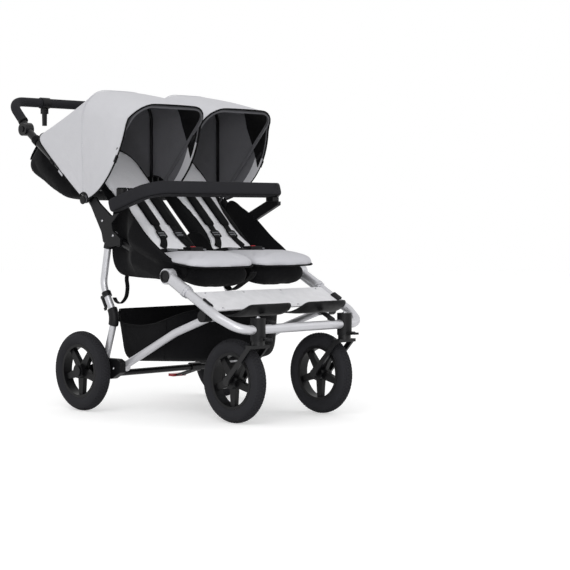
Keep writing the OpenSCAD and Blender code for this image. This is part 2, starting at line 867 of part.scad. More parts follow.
// Bumper: a padded bar that swings open about an upright pin at its left end
module bumper_arm() {
    top_h = bumper_h - bumper_r - gap;
    low = [-arm_front_ahead, arm_low_h];
    high = [-arm_rear_ahead, top_h - bumper_seat_t];
    pad_y = bumper_seat_w;
    color(dark) row() {
        side_plate(joint_in_x - bumper_arm_t, joint_in_x, spread(arm_shares, low, high));
        translate([bumper_pin_x - pad_y / 2, -bumper_ahead - pad_y / 2, top_h - bumper_seat_t])
            cube([joint_in_x - bumper_pin_x + pad_y / 2, pad_y, bumper_seat_t]);
        translate([bumper_pin_x, -bumper_ahead, top_h - over])
            cylinder(h = bumper_r + bumper_pin_rise, r = bumper_pin_r);
    }
}

module bumper_bar() {
    path = [
        [-bumper_end_x, -bumper_end_ahead, bumper_end_h],
        [-bumper_bend_x, -bumper_ahead, bumper_h],
        [bumper_far_x, -bumper_ahead, bumper_h]
    ];
    color(cloth_black) row() difference() {
        bent_tube(path, bumper_r, bumper_bend_r);
        translate([bumper_pin_x, -bumper_ahead, bumper_h - bumper_r - over])
            cylinder(h = bumper_r + bumper_pin_rise + 2 * over, r = bumper_pin_r + run_gap);
        translate([-knob_x, -knob_ahead, knob_low_h - knob_recess])
            cylinder(h = bumper_d, r = knob_r + run_gap);
    }
}

module bumper_knob() {
    side_h = knob_t - knob_edge;
    color(dark) row() translate([-knob_x, -knob_ahead, knob_low_h]) {
        cylinder(h = side_h, r = knob_r);
        translate([0, 0, side_h]) cylinder(h = knob_edge, r1 = knob_r, r2 = knob_r - knob_edge);
    }
}

// Front frame
module front_frame_tube() {
    start = [front_tube_x, hub_y, hub_h] + front_dir * sleeve_len;
    turn = [front_tube_x, hub_y, hub_h] + front_dir * front_len * turn_share;
    corner = [front_tube_x - front_turn_in, bar_y, bar_h];
    far = [for (p = [corner, turn, start]) [-p[0], p[1], p[2]]];
    color(silver) row() bent_tube(concat([start, turn, corner], far), front_tube_r, front_bend_r);
}

module hub_sleeves() {
    start = in_plane(front_tube_x, hub);
    bead_from = sleeve_len - 2 * sleeve_ring_t;
    color(silver) row() both_sides() difference() {
        union() {
            cross_pin(hub_in_x, hub_out_x, hub, hub_r);
            difference() {
                union() {
                    rod(start, start + front_dir * sleeve_len, sleeve_r);
                    rod(start + front_dir * bead_from, start + front_dir * (bead_from + sleeve_ring_t),
                        sleeve_r + sleeve_bead);
                }
                cross_pin(hub_in_x - hub_r, hub_in_x, hub, rail_eye_r + over);
                cross_pin(hub_out_x, hub_out_x + hub_r, hub, hub_r);
            }
        }
        cross_pin(hub_in_x - over, hub_out_x - hub_lid_t + over, hub, hub_pin_r + run_gap);
    }
}

module hub_lids() {
    color(black) row() both_sides() difference() {
        cross_pin(hub_out_x, hub_out_x + hub_lid_t, hub, hub_lid_r);
        cross_pin(hub_out_x + hub_lid_t - hub_lid_dish, hub_out_x + hub_lid_t + over, hub, hub_lid_dish_r);
    }
}

// Places a flat shape in the sloping plane of the front frame: its Y runs down from the hubs
module on_front_slope(from, lift) {
    translate([0, hub_y, hub_h]) rotate([front_slope, 0, 0]) translate([0, -from, lift]) children();
}

module foot_plate() {
    low = plate_raise - plate_t / 2;
    half_w = front_tube_x - sqrt(front_tube_r * front_tube_r - low * low) - gap;
    notch = front_dir * (clamp_len / 2 + gap);
    color(pale_grey) row() difference() {
        on_front_slope(plate_start + plate_len, low)
            translate([-half_w, 0, 0]) cube([2 * half_w, plate_len, plate_t]);
        both_sides() rod(clamp_at - notch, clamp_at + notch, clamp_r + gap);
    }
}

module foot_trays() {
    low = [-tray_lip_ahead, tray_low_h];
    high = [-tray_rear_ahead, tray_lip_h];
    foot_low = bar_h + front_tube_r + gap;
    foot_top = tray_low_h + over;
    foot_front = -tray_floor_ahead;
    color(dark) row() both_sides() {
        side_plate(tray_in_x, tray_out_x, spread(tray_shares, low, high));
        side_plate(tray_foot_x - tray_foot_w / 2, tray_foot_x + tray_foot_w / 2, [
            [bar_y - tray_foot_w / 3, foot_low], [bar_y + tray_foot_w / 3, foot_low],
            [foot_front + tray_foot_w, foot_top], [foot_front, foot_top]]);
    }
}

module caster_housings() {
    ear_y = bar_y - lever_pin_ahead;
    half_w = lever_eye_w / 2;
    color(black) row() both_sides() translate([front_x, 0, 0]) difference() {
        union() {
            translate([0, bar_y, housing_low_h]) cylinder(h = housing_top_h - housing_low_h, r = housing_r);
            for (x = [-half_w - lever_ear_t, half_w])
                translate([x, ear_y - lever_eye_r, lever_pin_h - lever_eye_r])
                    cube([lever_ear_t, lever_pin_ahead, 2 * lever_eye_r]);
            cross_pin(-half_w - over, half_w + over, [ear_y, lever_pin_h], lever_pin_r);
        }
        cross_pin(-housing_r - over, housing_r + over, [bar_y, bar_h], front_tube_r + run_gap);
        translate([0, bar_y, housing_low_h - over])
            cylinder(h = stem_top_h - housing_low_h + over + gap, r = stem_r + run_gap);
    }
}

module lock_lever(side) {
    pin = [bar_y - lever_pin_ahead, lever_pin_h];
    blade = lever_reach - lever_pin_ahead - lever_w / 2;
    half_w = lever_eye_w / 2 - gap;
    color(dark) row() sided(side) translate([front_x, 0, 0]) difference() {
        union() {
            cross_pin(-half_w, half_w, pin, lever_eye_r);
            translate([0, pin[0] - blade, pin[1] - lever_t / 2]) {
                translate([-half_w, 0, 0]) cube([2 * half_w, blade, lever_t]);
                cylinder(h = lever_t, r = lever_w / 2);
            }
        }
        cross_pin(-lever_w, lever_w, pin, lever_pin_r + run_gap);
    }
}

module caster_fork(side) {
    axle = [-wheelbase, wheel_r];
    yoke = [bar_y, yoke_top_h - yoke_t / 2];
    color(black) row() sided(side) translate([front_x, 0, 0]) {
        translate([0, bar_y, yoke_top_h - over]) {
            cylinder(h = stem_top_h - yoke_top_h + over, r = stem_r);
            cylinder(h = housing_low_h - gap - yoke_top_h + over, r = collar_r);
        }
        translate([-fork_out_x, bar_y - yoke_depth / 2, yoke_top_h - yoke_t])
            cube([2 * fork_out_x, yoke_depth, yoke_t]);
        for (x = [-fork_out_x, fork_in_x]) {
            side_plate(x, x + fork_t, strip(yoke, axle, fork_arm_w));
            cross_pin(x, x + fork_t, axle, axle_boss_r);
        }
        cross_pin(-fork_out_x, fork_out_x, axle, axle_r);
    }
}

// Wheels, made at the origin with their axle along X
module tyre() {
    rotate([0, 90, 0]) rotate_extrude() difference() {
        translate([wheel_r - tyre_r, 0]) circle(r = tyre_r);
        translate([0, -tyre_w]) square([rim_r, 2 * tyre_w]);
    }
}

module rim(bore_from, bore_to) {
    seat_r = rim_r - run_gap;
    inner_r = rim_r - rim_wall;
    rotate([0, 90, 0]) difference() {
        union() {
            rotate_extrude() {
                translate([inner_r, -rim_w / 2]) square([seat_r - inner_r, rim_w]);
            }
            translate([0, 0, -wheel_hub_w / 2]) cylinder(h = wheel_hub_w, r = wheel_hub_d / 2);
            for (i = [0 : spoke_count - 1]) rotate([0, 0, i * 360 / spoke_count])
                translate([0, 0, -spoke_t / 2]) linear_extrude(spoke_t)
                    polygon([
                        [0, -spoke_root_w / 2], [inner_r + over, -spoke_tip_w / 2],
                        [inner_r + over, spoke_tip_w / 2], [0, spoke_root_w / 2]]);
        }
        translate([0, 0, bore_from]) cylinder(h = bore_to - bore_from, r = axle_r + run_gap);
    }
}

module rear_tyre(side) {
    color(tyre_grey) row() sided(side) translate([rear_x, 0, wheel_r]) tyre();
}

module rear_rim(side) {
    color(black) row() sided(side) translate([rear_x, 0, wheel_r]) {
        rim(-wheel_hub_w / 2 - over, wheel_hub_w / 2 - hub_cap_t);
        cross_pin(wheel_hub_w / 2, wheel_hub_w / 2 + hub_cap_t, [0, 0], hub_cap_d / 2);
    }
}

module front_tyre(side) {
    color(tyre_grey) row() sided(side) translate([front_x, -wheelbase, wheel_r]) tyre();
}

module front_rim(side) {
    color(black) row() sided(side) translate([front_x, -wheelbase, wheel_r])
        rim(-wheel_hub_w / 2 - over, wheel_hub_w / 2 + over);
}

// Link tubes and basket
module link_clamps() {
    lug = [clamp_at[1], clamp_at[2]];
    color(black) row() both_sides() difference() {
        union() {
            rod(clamp_at - front_dir * clamp_len / 2, clamp_at + front_dir * clamp_len / 2, clamp_r);
            side_plate(hub_in_x, front_tube_x - over, strip(lug, link_pin, clamp_lug_w));
            cross_pin(link_out_x + gap, front_tube_x, link_pin, link_eye_r);
            cross_pin(link_in_x, front_tube_x, link_pin, link_bore_r);
        }
        rod(clamp_at - front_dir * clamp_len, clamp_at + front_dir * clamp_len, front_tube_r + run_gap);
        // The clamp is a saddle on the inner side of the tube
        translate([front_tube_x, clamp_at[1] - clamp_len, clamp_at[2] - clamp_len])
            cube([clamp_len, 2 * clamp_len, 2 * clamp_len]);
    }
}

module link_tubes() {
    path = [in_plane(link_x, link_pin), in_plane(link_x, link_bend), in_plane(link_x, link_end)];
    color(silver) row() both_sides() difference() {
        union() {
            bent_tube(path, link_r, link_bend_r);
            cross_pin(link_in_x, link_out_x, link_pin, link_eye_r);
            cross_pin(link_in_x, link_out_x, link_end, link_eye_r);
        }
        cross_pin(link_in_x - over, link_out_x + over, link_pin, link_bore_r + run_gap);
    }
}

// Height of a link tube's axis at a distance ahead of the rear axle
function link_h(ahead) = ahead > link_bend_ahead
    ? mix(link_bend_h, link_pin_h, (ahead - link_bend_ahead) / (link_pin_ahead - link_bend_ahead))
    : mix(link_end_h, link_bend_h, (ahead - link_end_ahead) / (link_bend_ahead - link_end_ahead));

module basket() {
    half_w = basket_w / 2;
    wall = basket_wall;
    outline = [
        [-basket_rear_ahead, basket_low_rear_h], [-basket_front_ahead, basket_low_front_h],
        [-basket_lip_ahead, basket_rim_front_h], [-basket_dip_ahead, basket_dip_h],
        [-basket_rim_rear_ahead, basket_rim_rear_h]
    ];
    hollow_top = basket_rim_front_h + over;
    hollow = [
        [-basket_rear_ahead - wall, basket_low_rear_h + wall],
        [-basket_front_ahead + wall, basket_low_front_h + wall],
        [-basket_lip_ahead + wall, hollow_top], [-basket_rim_rear_ahead - wall, hollow_top]
    ];
    color(cloth_black) row() {
        difference() {
            side_plate(-half_w, half_w, outline);
            side_plate(-half_w + wall, half_w - wall, hollow);
        }
        // Tabs that hang the basket on the link tubes
        both_sides() for (ahead = [loop_front_ahead, loop_rear_ahead])
            translate([half_w - wall, -ahead - loop_w / 2, link_h(ahead) - loop_h / 2])
                cube([link_in_x - gap - half_w + wall, loop_w, loop_h]);
    }
}

// Rear legs and axle
module rear_legs() {
    color(silver) row() both_sides() difference() {
        union() {
            bent_tube(leg_path, leg_r, leg_bend_r);
            cross_pin(leg_in_x, joint_in_x - gap, leg_pivot, leg_eye_r);
        }
        cross_pin(leg_in_x - over, joint_in_x + over, leg_pivot, leg_pin_r + run_gap);
    }
}

// A sleeve round the rear leg where it bends
module leg_sleeve(i, wall) {
    difference() {
        elbow(leg_path[i], along(leg_path, i - 1), along(leg_path, i), leg_r + wall, leg_bend_r);
        elbow(leg_path[i], along(leg_path, i - 1), along(leg_path, i),
            leg_r + bend_swell + run_gap, leg_bend_r);
    }
}

module leg_clamps() {
    clip_half = catch_dir * catch_clip_len / 2;
    lug_x = leg_x - catch_t;
    color(black) row() {
        both_sides() {
            difference() {
                leg_sleeve(1, elbow_wall);
                cross_pin(joint_in_x - gap, joint_out_x, leg_pivot, elbow_clear_r);
                cross_pin(leg_in_x - 2 * elbow_wall, joint_in_x, leg_pivot, leg_eye_r + gap);
            }
            leg_sleeve(3, knee_wall);
        }
        sided(-1) difference() {
            union() {
                rod(catch_at - clip_half, catch_at + clip_half, leg_r + catch_clip_wall);
                side_plate(lug_x, leg_x, strip([catch_at[1], catch_at[2]], catch_pin, catch_lug_w));
                cross_pin(lug_x, leg_x, catch_pin, catch_eye_r);
                cross_pin(lug_x, leg_x + gap + catch_t, catch_pin, catch_pin_r);
            }
            rod(catch_at - 2 * clip_half, catch_at + 2 * clip_half, leg_r + run_gap);
        }
    }
}

module fold_catch() {
    stem = [catch_dir[1], catch_dir[2]];
    tip = catch_pin + stem * catch_len;
    hook = [-stem[1], stem[0]] * catch_hook;
    x1 = leg_x + gap;
    x2 = x1 + catch_t;
    color(dark) row() sided(-1) difference() {
        union() {
            cross_pin(x1, x2, catch_pin, catch_eye_r);
            side_plate(x1, x2, strip(catch_pin, tip, catch_stem_w));
            side_plate(x1, x2, strip(tip, tip + hook, catch_stem_w));
        }
        cross_pin(x1 - over, x2 + over, catch_pin, catch_pin_r + run_gap);
    }
}

module axle_brackets() {
    low = [-bracket_front_ahead, bracket_low_h];
    high = [bracket_rear_behind, bracket_top_h];
    down = unit(leg_foot - leg_knee);
    color(black) row() both_sides() {
        difference() {
            union() {
                side_plate(bracket_in_x, bracket_out_x, spread(bracket_shares, low, high));
                rod(leg_foot + down * socket_floor, leg_foot - down * socket_len, leg_r + socket_wall);
            }
            rod(leg_foot, leg_foot - down * 2 * socket_len, leg_r + run_gap);
            // Keeps the socket clear of the link's end
            cross_pin(bracket_in_x - bracket_out_x, bracket_in_x, link_end, bracket_out_x);
        }
        cross_pin(bracket_out_x - over, rear_x + wheel_hub_w / 2 - hub_cap_t - over, [0, wheel_r], axle_r);
    }
}

module axle_beam() {
    color(black) row() cross_pin(-bracket_in_x, bracket_in_x, beam, beam_r);
}

module foot_pedal() {
    pad = [pedal_pad_behind - pedal_pad_l / 2, pedal_pad_h];
    color(silver) row() difference() {
        union() {
            cross_pin(pedal_x - pedal_w / 2, pedal_x + pedal_w / 2, beam, beam_r + pedal_wall);
            for (x = [pedal_x - pedal_wire_x, pedal_x + pedal_wire_x])
                rod(in_plane(x, beam - [0, beam_r]), in_plane(x, pad), pedal_wire_r);
        }
        cross_pin(pedal_x - pedal_w, pedal_x + pedal_w, beam, beam_r + run_gap);
        translate([pedal_x - pedal_pad_w / 2, pad[0], pad[1] - pedal_pad_t])
            cube([pedal_pad_w, pedal_pad_l, 2 * pedal_pad_t]);
    }
}

module pedal_pad() {
    corner = [pedal_x - pedal_pad_w / 2, pedal_pad_behind - pedal_pad_l / 2, pedal_pad_h - pedal_pad_t / 2];
    color(red) row() translate(corner) cube([pedal_pad_w, pedal_pad_l, pedal_pad_t]);
}

// Handle
function handle_path(from) =
    let (d = unit(handle - hinge), p = hinge + d * from)
    [in_plane(handle_x, p), in_plane(handle_x, handle), in_plane(-handle_x, handle), in_plane(-handle_x, p)];

module handle_tube() {
    color(black) row() difference() {
        union() {
            bent_tube(handle_path(0), handle_r, handle_bend_r);
            both_sides() cross_pin(hinge_in_x, back_tube_x, hinge, hinge_r);
        }
        both_sides() {
            cross_pin(back_tube_x, hinge_out_x, hinge, hinge_r + over);
            cross_pin(hinge_in_x - handle_r, hinge_in_x, hinge, hinge_r);
            cross_pin(hinge_in_x - over, back_tube_x + over, hinge, hinge_pin_r + run_gap);
        }
    }
}

module handle_grip() {
    color(cloth_black) row() difference() {
        bent_tube(handle_path(grip_start), grip_r, handle_bend_r);
        bent_tube(handle_path(grip_start - over), handle_r + run_gap, handle_bend_r);
    }
}

module handle_button(side) {
    from = hinge_out_x + button_rise - button_t;
    color(silver) row() sided(side) cross_pin(from, from + button_t, hinge, button_r);
}

module brake_housing() {
    half_t = brake_t / 2 + gap;
    ear_h = brake_pin_drop + brake_eye_r;
    color(black) row() translate([-brake_x, 0, 0]) difference() {
        union() {
            cross_pin(-brake_ring_w / 2, brake_ring_w / 2, handle, grip_r + brake_ring_wall);
            for (x = [-half_t - brake_ear_t, half_t])
                translate([x, handle_behind - brake_neck_w / 2, handle_h - ear_h])
                    cube([brake_ear_t, brake_neck_w, ear_h]);
            cross_pin(-half_t - over, half_t + over, brake_pin, brake_pin_r);
        }
        cross_pin(-brake_ring_w, brake_ring_w, handle, grip_r + run_gap);
    }
}

module brake_lever() {
    half_t = brake_t / 2;
    tip = brake_pin - [0, brake_len];
    color(black) row() translate([-brake_x, 0, 0]) difference() {
        union() {
            cross_pin(-half_t, half_t, brake_pin, brake_eye_r);
            side_plate(-half_t, half_t, [
                brake_pin - [brake_root_w / 2, 0], tip - [brake_tip_w / 2, 0],
                tip + [brake_tip_w / 2, 0], brake_pin + [brake_root_w / 2, 0]]);
        }
        cross_pin(-brake_t, brake_t, brake_pin, brake_pin_r + run_gap);
    }
}

seat_rails();
side_joints();
back_tubes();
cross_bar();
seat_sling();
seat_pad(1);  // seat_pad_left
seat_pad(-1);  // seat_pad_right
seat_sides();
recline_rod();
organiser_bag();
canopy_cloth(1);  // canopy_cloth_left
canopy_cloth(-1);  // canopy_cloth_right
bumper_arm();
buckles();
front_frame_tube();
hub_sleeves();
hub_lids();
foot_plate();
foot_trays();
caster_housings();
link_clamps();
link_tubes();
basket();
rear_legs();
leg_clamps();
axle_brackets();
axle_beam();
fold_catch();
foot_pedal();
pedal_pad();
rear_tyre(1);  // rear_tyre_left
rear_tyre(-1);  // rear_tyre_right
rear_rim(1);  // rear_rim_left
rear_rim(-1);  // rear_rim_right
front_tyre(1);  // front_tyre_left
front_tyre(-1);  // front_tyre_right
front_rim(1);  // front_rim_left
front_rim(-1);  // front_rim_right
caster_fork(1);  // caster_fork_left
caster_fork(-1);  // caster_fork_right
lock_lever(1);  // lock_lever_left
lock_lever(-1);  // lock_lever_right
handle_tube();
handle_grip();
handle_button(1);  // handle_button_left
handle_button(-1);  // handle_button_right
brake_housing();
brake_lever();
bumper_bar();
bumper_knob();
seat_back(1);  // seat_back_left
seat_back(-1);  // seat_back_right
harness(1);  // harness_left
harness(-1);  // harness_right
front_bow(1);  // front_bow_left
front_bow(-1);  // front_bow_right
mid_bow(1);  // mid_bow_left
mid_bow(-1);  // mid_bow_right
buckle_button(1);  // buckle_button_left
buckle_button(-1);  // buckle_button_right
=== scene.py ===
import math

import bmesh
import bpy
import numpy as np
from mathutils import Euler, Matrix, Vector


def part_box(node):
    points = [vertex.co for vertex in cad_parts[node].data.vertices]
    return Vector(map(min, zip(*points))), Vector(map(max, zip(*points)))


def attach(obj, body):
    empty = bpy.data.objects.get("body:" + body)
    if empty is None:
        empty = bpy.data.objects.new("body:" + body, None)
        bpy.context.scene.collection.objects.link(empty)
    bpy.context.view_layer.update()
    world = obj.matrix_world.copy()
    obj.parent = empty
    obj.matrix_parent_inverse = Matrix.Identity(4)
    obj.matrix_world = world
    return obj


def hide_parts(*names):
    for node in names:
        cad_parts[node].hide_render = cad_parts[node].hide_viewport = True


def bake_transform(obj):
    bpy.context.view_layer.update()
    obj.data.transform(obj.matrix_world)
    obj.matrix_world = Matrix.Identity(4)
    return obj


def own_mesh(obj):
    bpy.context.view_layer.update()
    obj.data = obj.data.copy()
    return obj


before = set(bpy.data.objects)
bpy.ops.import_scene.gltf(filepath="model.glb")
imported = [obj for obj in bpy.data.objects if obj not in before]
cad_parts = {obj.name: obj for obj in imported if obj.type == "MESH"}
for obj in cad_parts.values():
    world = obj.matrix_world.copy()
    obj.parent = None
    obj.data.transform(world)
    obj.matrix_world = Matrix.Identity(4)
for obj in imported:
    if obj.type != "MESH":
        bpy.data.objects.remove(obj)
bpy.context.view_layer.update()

bl_info = {
    "name": "Twin Pram",
    "version": (1, 0, 0),
    "blender": (4, 5, 0),
    "location": "View3D > Sidebar > Pram",
    "description": "Dresses the frame of a twin pram: cloth, padding, tyres, finishes and stage",
    "category": "Object",
}

# Places are written in millimetres from the middle of the rear axle: x to the left, y to the back, z up.
MM = 0.001
TYRE_LOW, TYRE_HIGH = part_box("rear_tyre_left")
AXLE_Y = (TYRE_LOW.y + TYRE_HIGH.y) / 2
SIDES = (("left", 1), ("right", -1))
WIDE = (1, 0, 0)
# Step on the UV map, in metres, from the last row or column of a closed shell back to its first.
LAST_STEP = 0.01


def tone(red, green, blue):
    """A colour as it looks on screen, 0 to 255, as the linear colour that a shader takes."""
    shares = (c / 255 for c in (red, green, blue))
    return tuple(c / 12.92 if c <= 0.04 else ((c + 0.055) / 1.055) ** 2.4 for c in shares)


def colour_prop(name, description, rgb):
    return bpy.props.FloatVectorProperty(
        name=name, description=description, subtype="COLOR", size=3, min=0, max=1, default=tone(*rgb))


def length_prop(name, description, mm, low, high):
    return bpy.props.FloatProperty(
        name=name, description=description, subtype="DISTANCE", unit="LENGTH",
        default=mm * MM, min=low * MM, max=high * MM)


class PramSizes(bpy.types.PropertyGroup):
    """Sizes of the cloth, padding and trim."""

    piping: length_prop("Piping", "Radius of the sewn piping round pads and hems", 2.2, 1, 4)
    stitch_pitch: length_prop("Stitch pitch", "Distance from one stitch to the next", 6, 3, 12)
    webbing: length_prop("Webbing", "Width of the harness webbing", 25, 15, 40)
    cloth_wall: length_prop("Cloth thickness", "Thickness of the canopy cloth with its lining", 1.6, 0.8, 2.4)
    canopy_bulge: length_prop("Canopy bulge", "How far the canopy swells between its bows", 14, 0, 25)
    pad_swell: length_prop("Pad swell", "Most that filling moves the cover of a pad", 5, 0, 12)
    basket_sag: length_prop("Basket sag", "How far the basket's floor hangs in the middle", 9, 0, 20)
    tread_depth: length_prop("Tread depth", "Height of the tread blocks", 1.6, 0.5, 3)
    tread_count: bpy.props.IntProperty(
        name="Tread blocks", description="Blocks in one ring of a tyre's tread", default=72, min=24, max=120)


class PramColours(bpy.types.PropertyGroup):
    """Colours of the finishes."""

    canopy: colour_prop("Canopy", "Outer cloth of the canopies", (206, 206, 210))
    lining: colour_prop("Lining", "Lining of the canopies", (104, 104, 108))
    pad: colour_prop("Seat pads", "Cover of the seat pads", (197, 197, 202))
    liner: colour_prop("Back liners", "Liners on the seat backs", (236, 236, 240))
    black_cloth: colour_prop("Black cloth", "Seat, basket and bag cloth", (14, 14, 16))
    webbing: colour_prop("Webbing", "Harness straps", (14, 14, 16))
    foam: colour_prop("Foam", "Bumper and handle foam", (40, 40, 43))
    silver: colour_prop("Silver tube", "Satin tubes of the frame", (198, 198, 202))
    paint: colour_prop("Black paint", "Painted tubes and bows", (14, 14, 16))
    plastic: colour_prop("Black plastic", "Mouldings, rims and forks", (16, 16, 18))
    plate: colour_prop("Foot plate", "Plate above the front bar", (219, 219, 222))
    red: colour_prop("Red", "Pedal pad, buckle buttons and zip tag", (176, 30, 40))
    tyre: colour_prop("Tyre", "Rubber of the tyres", (42, 42, 45))
    floor: colour_prop("Floor", "Pale studio floor", (225, 225, 225))


def sizes():
    return bpy.context.scene.pram_sizes


def colours():
    return bpy.context.scene.pram_colours


# ---------------------------------------------------------------- shapes

def spots(points):
    """Millimetre places as metres in the frame."""
    return np.asarray(points, float) * MM + np.array((0, AXLE_Y, 0))


def sided(points, sign):
    return np.asarray(points, float) * np.array((sign, 1, 1))


def flat(outline, lift=0.0):
    """A flat outline as places at one height above its plane."""
    return np.column_stack([outline, np.full(len(outline), lift)])


def unit(v):
    v = np.asarray(v, float)
    return v / max(np.linalg.norm(v), 1e-12)


def ramp(value, start, end):
    """The share of the way from start to end, 0 before it and 1 after it."""
    return np.clip((value - start) / (end - start), 0, 1)


def spline(points, count, closed=False):
    """Points at even distances along a smooth curve through the given ones."""
    p = np.array(points, float)
    if closed:
        p = np.vstack([p, p[:1]])
    step = np.maximum(np.linalg.norm(np.diff(p, axis=0), axis=1), 1e-9) ** 0.5
    t = np.concatenate([[0], np.cumsum(step)])
    if closed:
        ends = (p[-2], p[1], -step[-1], t[-1] + step[0])
    else:
        ends = (2 * p[0] - p[1], 2 * p[-1] - p[-2], -step[0], t[-1] + step[-1])
    q = np.vstack([ends[0], p, ends[1]])
    s = np.concatenate([[ends[2]], t, [ends[3]]])
    slope = (q[2:] - q[:-2]) / (s[2:] - s[:-2])[:, None]
    at = np.linspace(0, t[-1], 40 * len(p))
    i = np.clip(np.searchsorted(t, at, "right") - 1, 0, len(p) - 2)
    h = t[i + 1] - t[i]
    u = ((at - t[i]) / h)[:, None]
    h = h[:, None]
    line = ((2 * u ** 3 - 3 * u ** 2 + 1) * p[i] + (u ** 3 - 2 * u ** 2 + u) * h * slope[i]
            + (3 * u ** 2 - 2 * u ** 3) * p[i + 1] + (u ** 3 - u ** 2) * h * slope[i + 1])
    return even(line, count, closed)


def even(line, count, closed=False):
    """Points at even distances along a polyline."""
    line = np.asarray(line, float)
    run = np.concatenate([[0], np.cumsum(np.linalg.norm(np.diff(line, axis=0), axis=1))])
    at = np.linspace(0, run[-1], count + 1)[:-1] if closed else np.linspace(0, run[-1], count)
    return np.stack([np.interp(at, run, line[:, k]) for k in range(line.shape[1])], axis=1)


def rounded_path(corners, radius, steps=8):
    """A polyline with its corners turned into arcs."""
    p = [np.asarray(c, float) for c in corners]
    out = [p[0]]
    for a, b, c in zip(p, p[1:], p[2:]):
        into, away = unit(b - a), unit(c - b)
        turn = math.acos(max(-1, min(1, float(into @ away))))
        cut = radius * math.tan(turn / 2)
        inward = unit(away - into * float(into @ away))
        centre = b - into * cut + inward * radius
        for k in range(steps + 1):
            angle = turn * k / steps
            out.append(centre - inward * radius * math.cos(angle) + into * radius * math.sin(angle))
    out.append(p[-1])
    return np.array(out)


def round_rect(low, high, radii, count):
    """A closed outline: a rectangle with these corner radii, from (low, low) on and anticlockwise."""
    corners = [(low[0], low[1], 180), (high[0], low[1], 270), (high[0], high[1], 0), (low[0], high[1], 90)]
    line = []
    for (x, y, start), r in zip(corners, radii):
        cx = x + r if x == low[0] else x - r
        cy = y + r if y == low[1] else y - r
        for k in range(9):
            a = math.radians(start + 90 * k / 8)
            line.append((cx + r * math.cos(a), cy + r * math.sin(a)))
    line.append(line[0])
    return even(line, count, closed=True)


def superellipse(half_w, half_h, power, count):
    """A closed profile between an ellipse (power 2) and a rectangle."""
    a = np.linspace(0, 2 * math.pi, count, endpoint=False)
    c, s = np.cos(a), np.sin(a)
    return np.stack([half_w * np.sign(c) * np.abs(c) ** (2 / power),
                     half_h * np.sign(s) * np.abs(s) ** (2 / power)], axis=1)


def swept(path, profile, up=(0, 0, 1), scale=None):
    """Rings of a profile carried along a path without twist."""
    path = np.asarray(path, float)
    tangent = np.gradient(path, axis=0)
    tangent /= np.maximum(np.linalg.norm(tangent, axis=1), 1e-12)[:, None]
    side = unit(np.cross(tangent[0], up))
    rings = []
    for i, (p, t) in enumerate(zip(path, tangent)):
        side = unit(side - t * float(side @ t))
        over = np.cross(side, t)
        grow = 1.0 if scale is None else scale[i]
        rings.append(p + grow * (profile[:, :1] * side + profile[:, 1:2] * over))
    return np.array(rings)


def piece(name, points, faces, *materials):
    """A new object at the origin, with smooth faces."""
    mesh = bpy.data.meshes.new(name)
    mesh.from_pydata([tuple(p) for p in points], [], faces)
    for m in materials:
        mesh.materials.append(m)
    mesh.shade_smooth()
    obj = bpy.data.objects.new(name, mesh)
    bpy.context.scene.collection.objects.link(obj)
    return obj


def shell(name, rows, *materials, wrap=False, loop=False, caps=False):
    """A mesh through rows of points. wrap closes each row, loop joins the last row to the first
    and caps closes the ends. Its UV map holds distances in metres along and across the rows."""
    rows = np.asarray(rows, float)
    n, m = rows.shape[:2]
    faces, marks = [], []
    for i in range(n if loop else n - 1):
        for j in range(m if wrap else m - 1):
            a, b = (i + 1) % n, (j + 1) % m
            faces.append((i * m + j, i * m + b, a * m + b, a * m + j))
            marks.append(((i, j), (i, j + 1), (i + 1, j + 1), (i + 1, j)))
    points = list(rows.reshape(-1, 3))
    if caps:
        for i, order in ((0, 1), (n - 1, -1)):
            points.append(rows[i].mean(axis=0))
            ring = [(i * m + j, i * m + (j + 1) % m) for j in range(m)]
            faces += [(len(points) - 1, b, a)[::order] for a, b in ring]
            marks += [((i, 0),) * 3] * m
    obj = piece(name, points, faces, *materials)
    runs = []
    for way in (1, 0):
        run = np.cumsum(np.linalg.norm(np.diff(rows, axis=way), axis=2).mean(axis=1 - way))
        runs.append(np.concatenate([[0], run, [run[-1] + LAST_STEP]]))
    across, along = runs
    places = np.array([(across[j], along[i]) for mark in marks for i, j in mark])
    obj.data.uv_layers.new(name="cloth").data.foreach_set("uv", places.ravel())
    return obj


def face_out(obj, inside=None):
    """Turns the faces outwards: of a closed mesh, or of an open one seen from a point inside it."""
    work = bmesh.new()
    work.from_mesh(obj.data)
    if inside is None:
        bmesh.ops.recalc_face_normals(work, faces=work.faces)
    else:
        middle = Vector(inside)
        if sum(f.normal.dot(f.calc_center_median() - middle) * f.calc_area() for f in work.faces) < 0:
            bmesh.ops.reverse_faces(work, faces=work.faces)
    work.to_mesh(obj.data)
    work.free()
    return obj


def solid(name, rings, *materials):
    """A closed form through rings of points."""
    return face_out(shell(name, rings, *materials, wrap=True, caps=True))


def tube(name, path, radius, material, sides=10, closed=False):
    """A round cord of cloth or metal along a path, with round ends."""
    end_length, end_scale = 0.8, 0.55
    profile = superellipse(radius, radius, 2, sides)
    path = np.asarray(path, float)
    if closed:
        rings = swept(np.vstack([path[-1:], path, path[:2]]), profile)[1:-2]
        return face_out(shell(name, rings, material, wrap=True, loop=True))
    first, last = unit(path[0] - path[1]), unit(path[-1] - path[-2])
    reach = radius * end_length
    line = np.vstack([path[0] + first * reach, path, path[-1] + last * reach])
    scale = np.ones(len(line))
    scale[[0, -1]] = end_scale
    return solid(name, swept(line, profile, scale=scale), material)


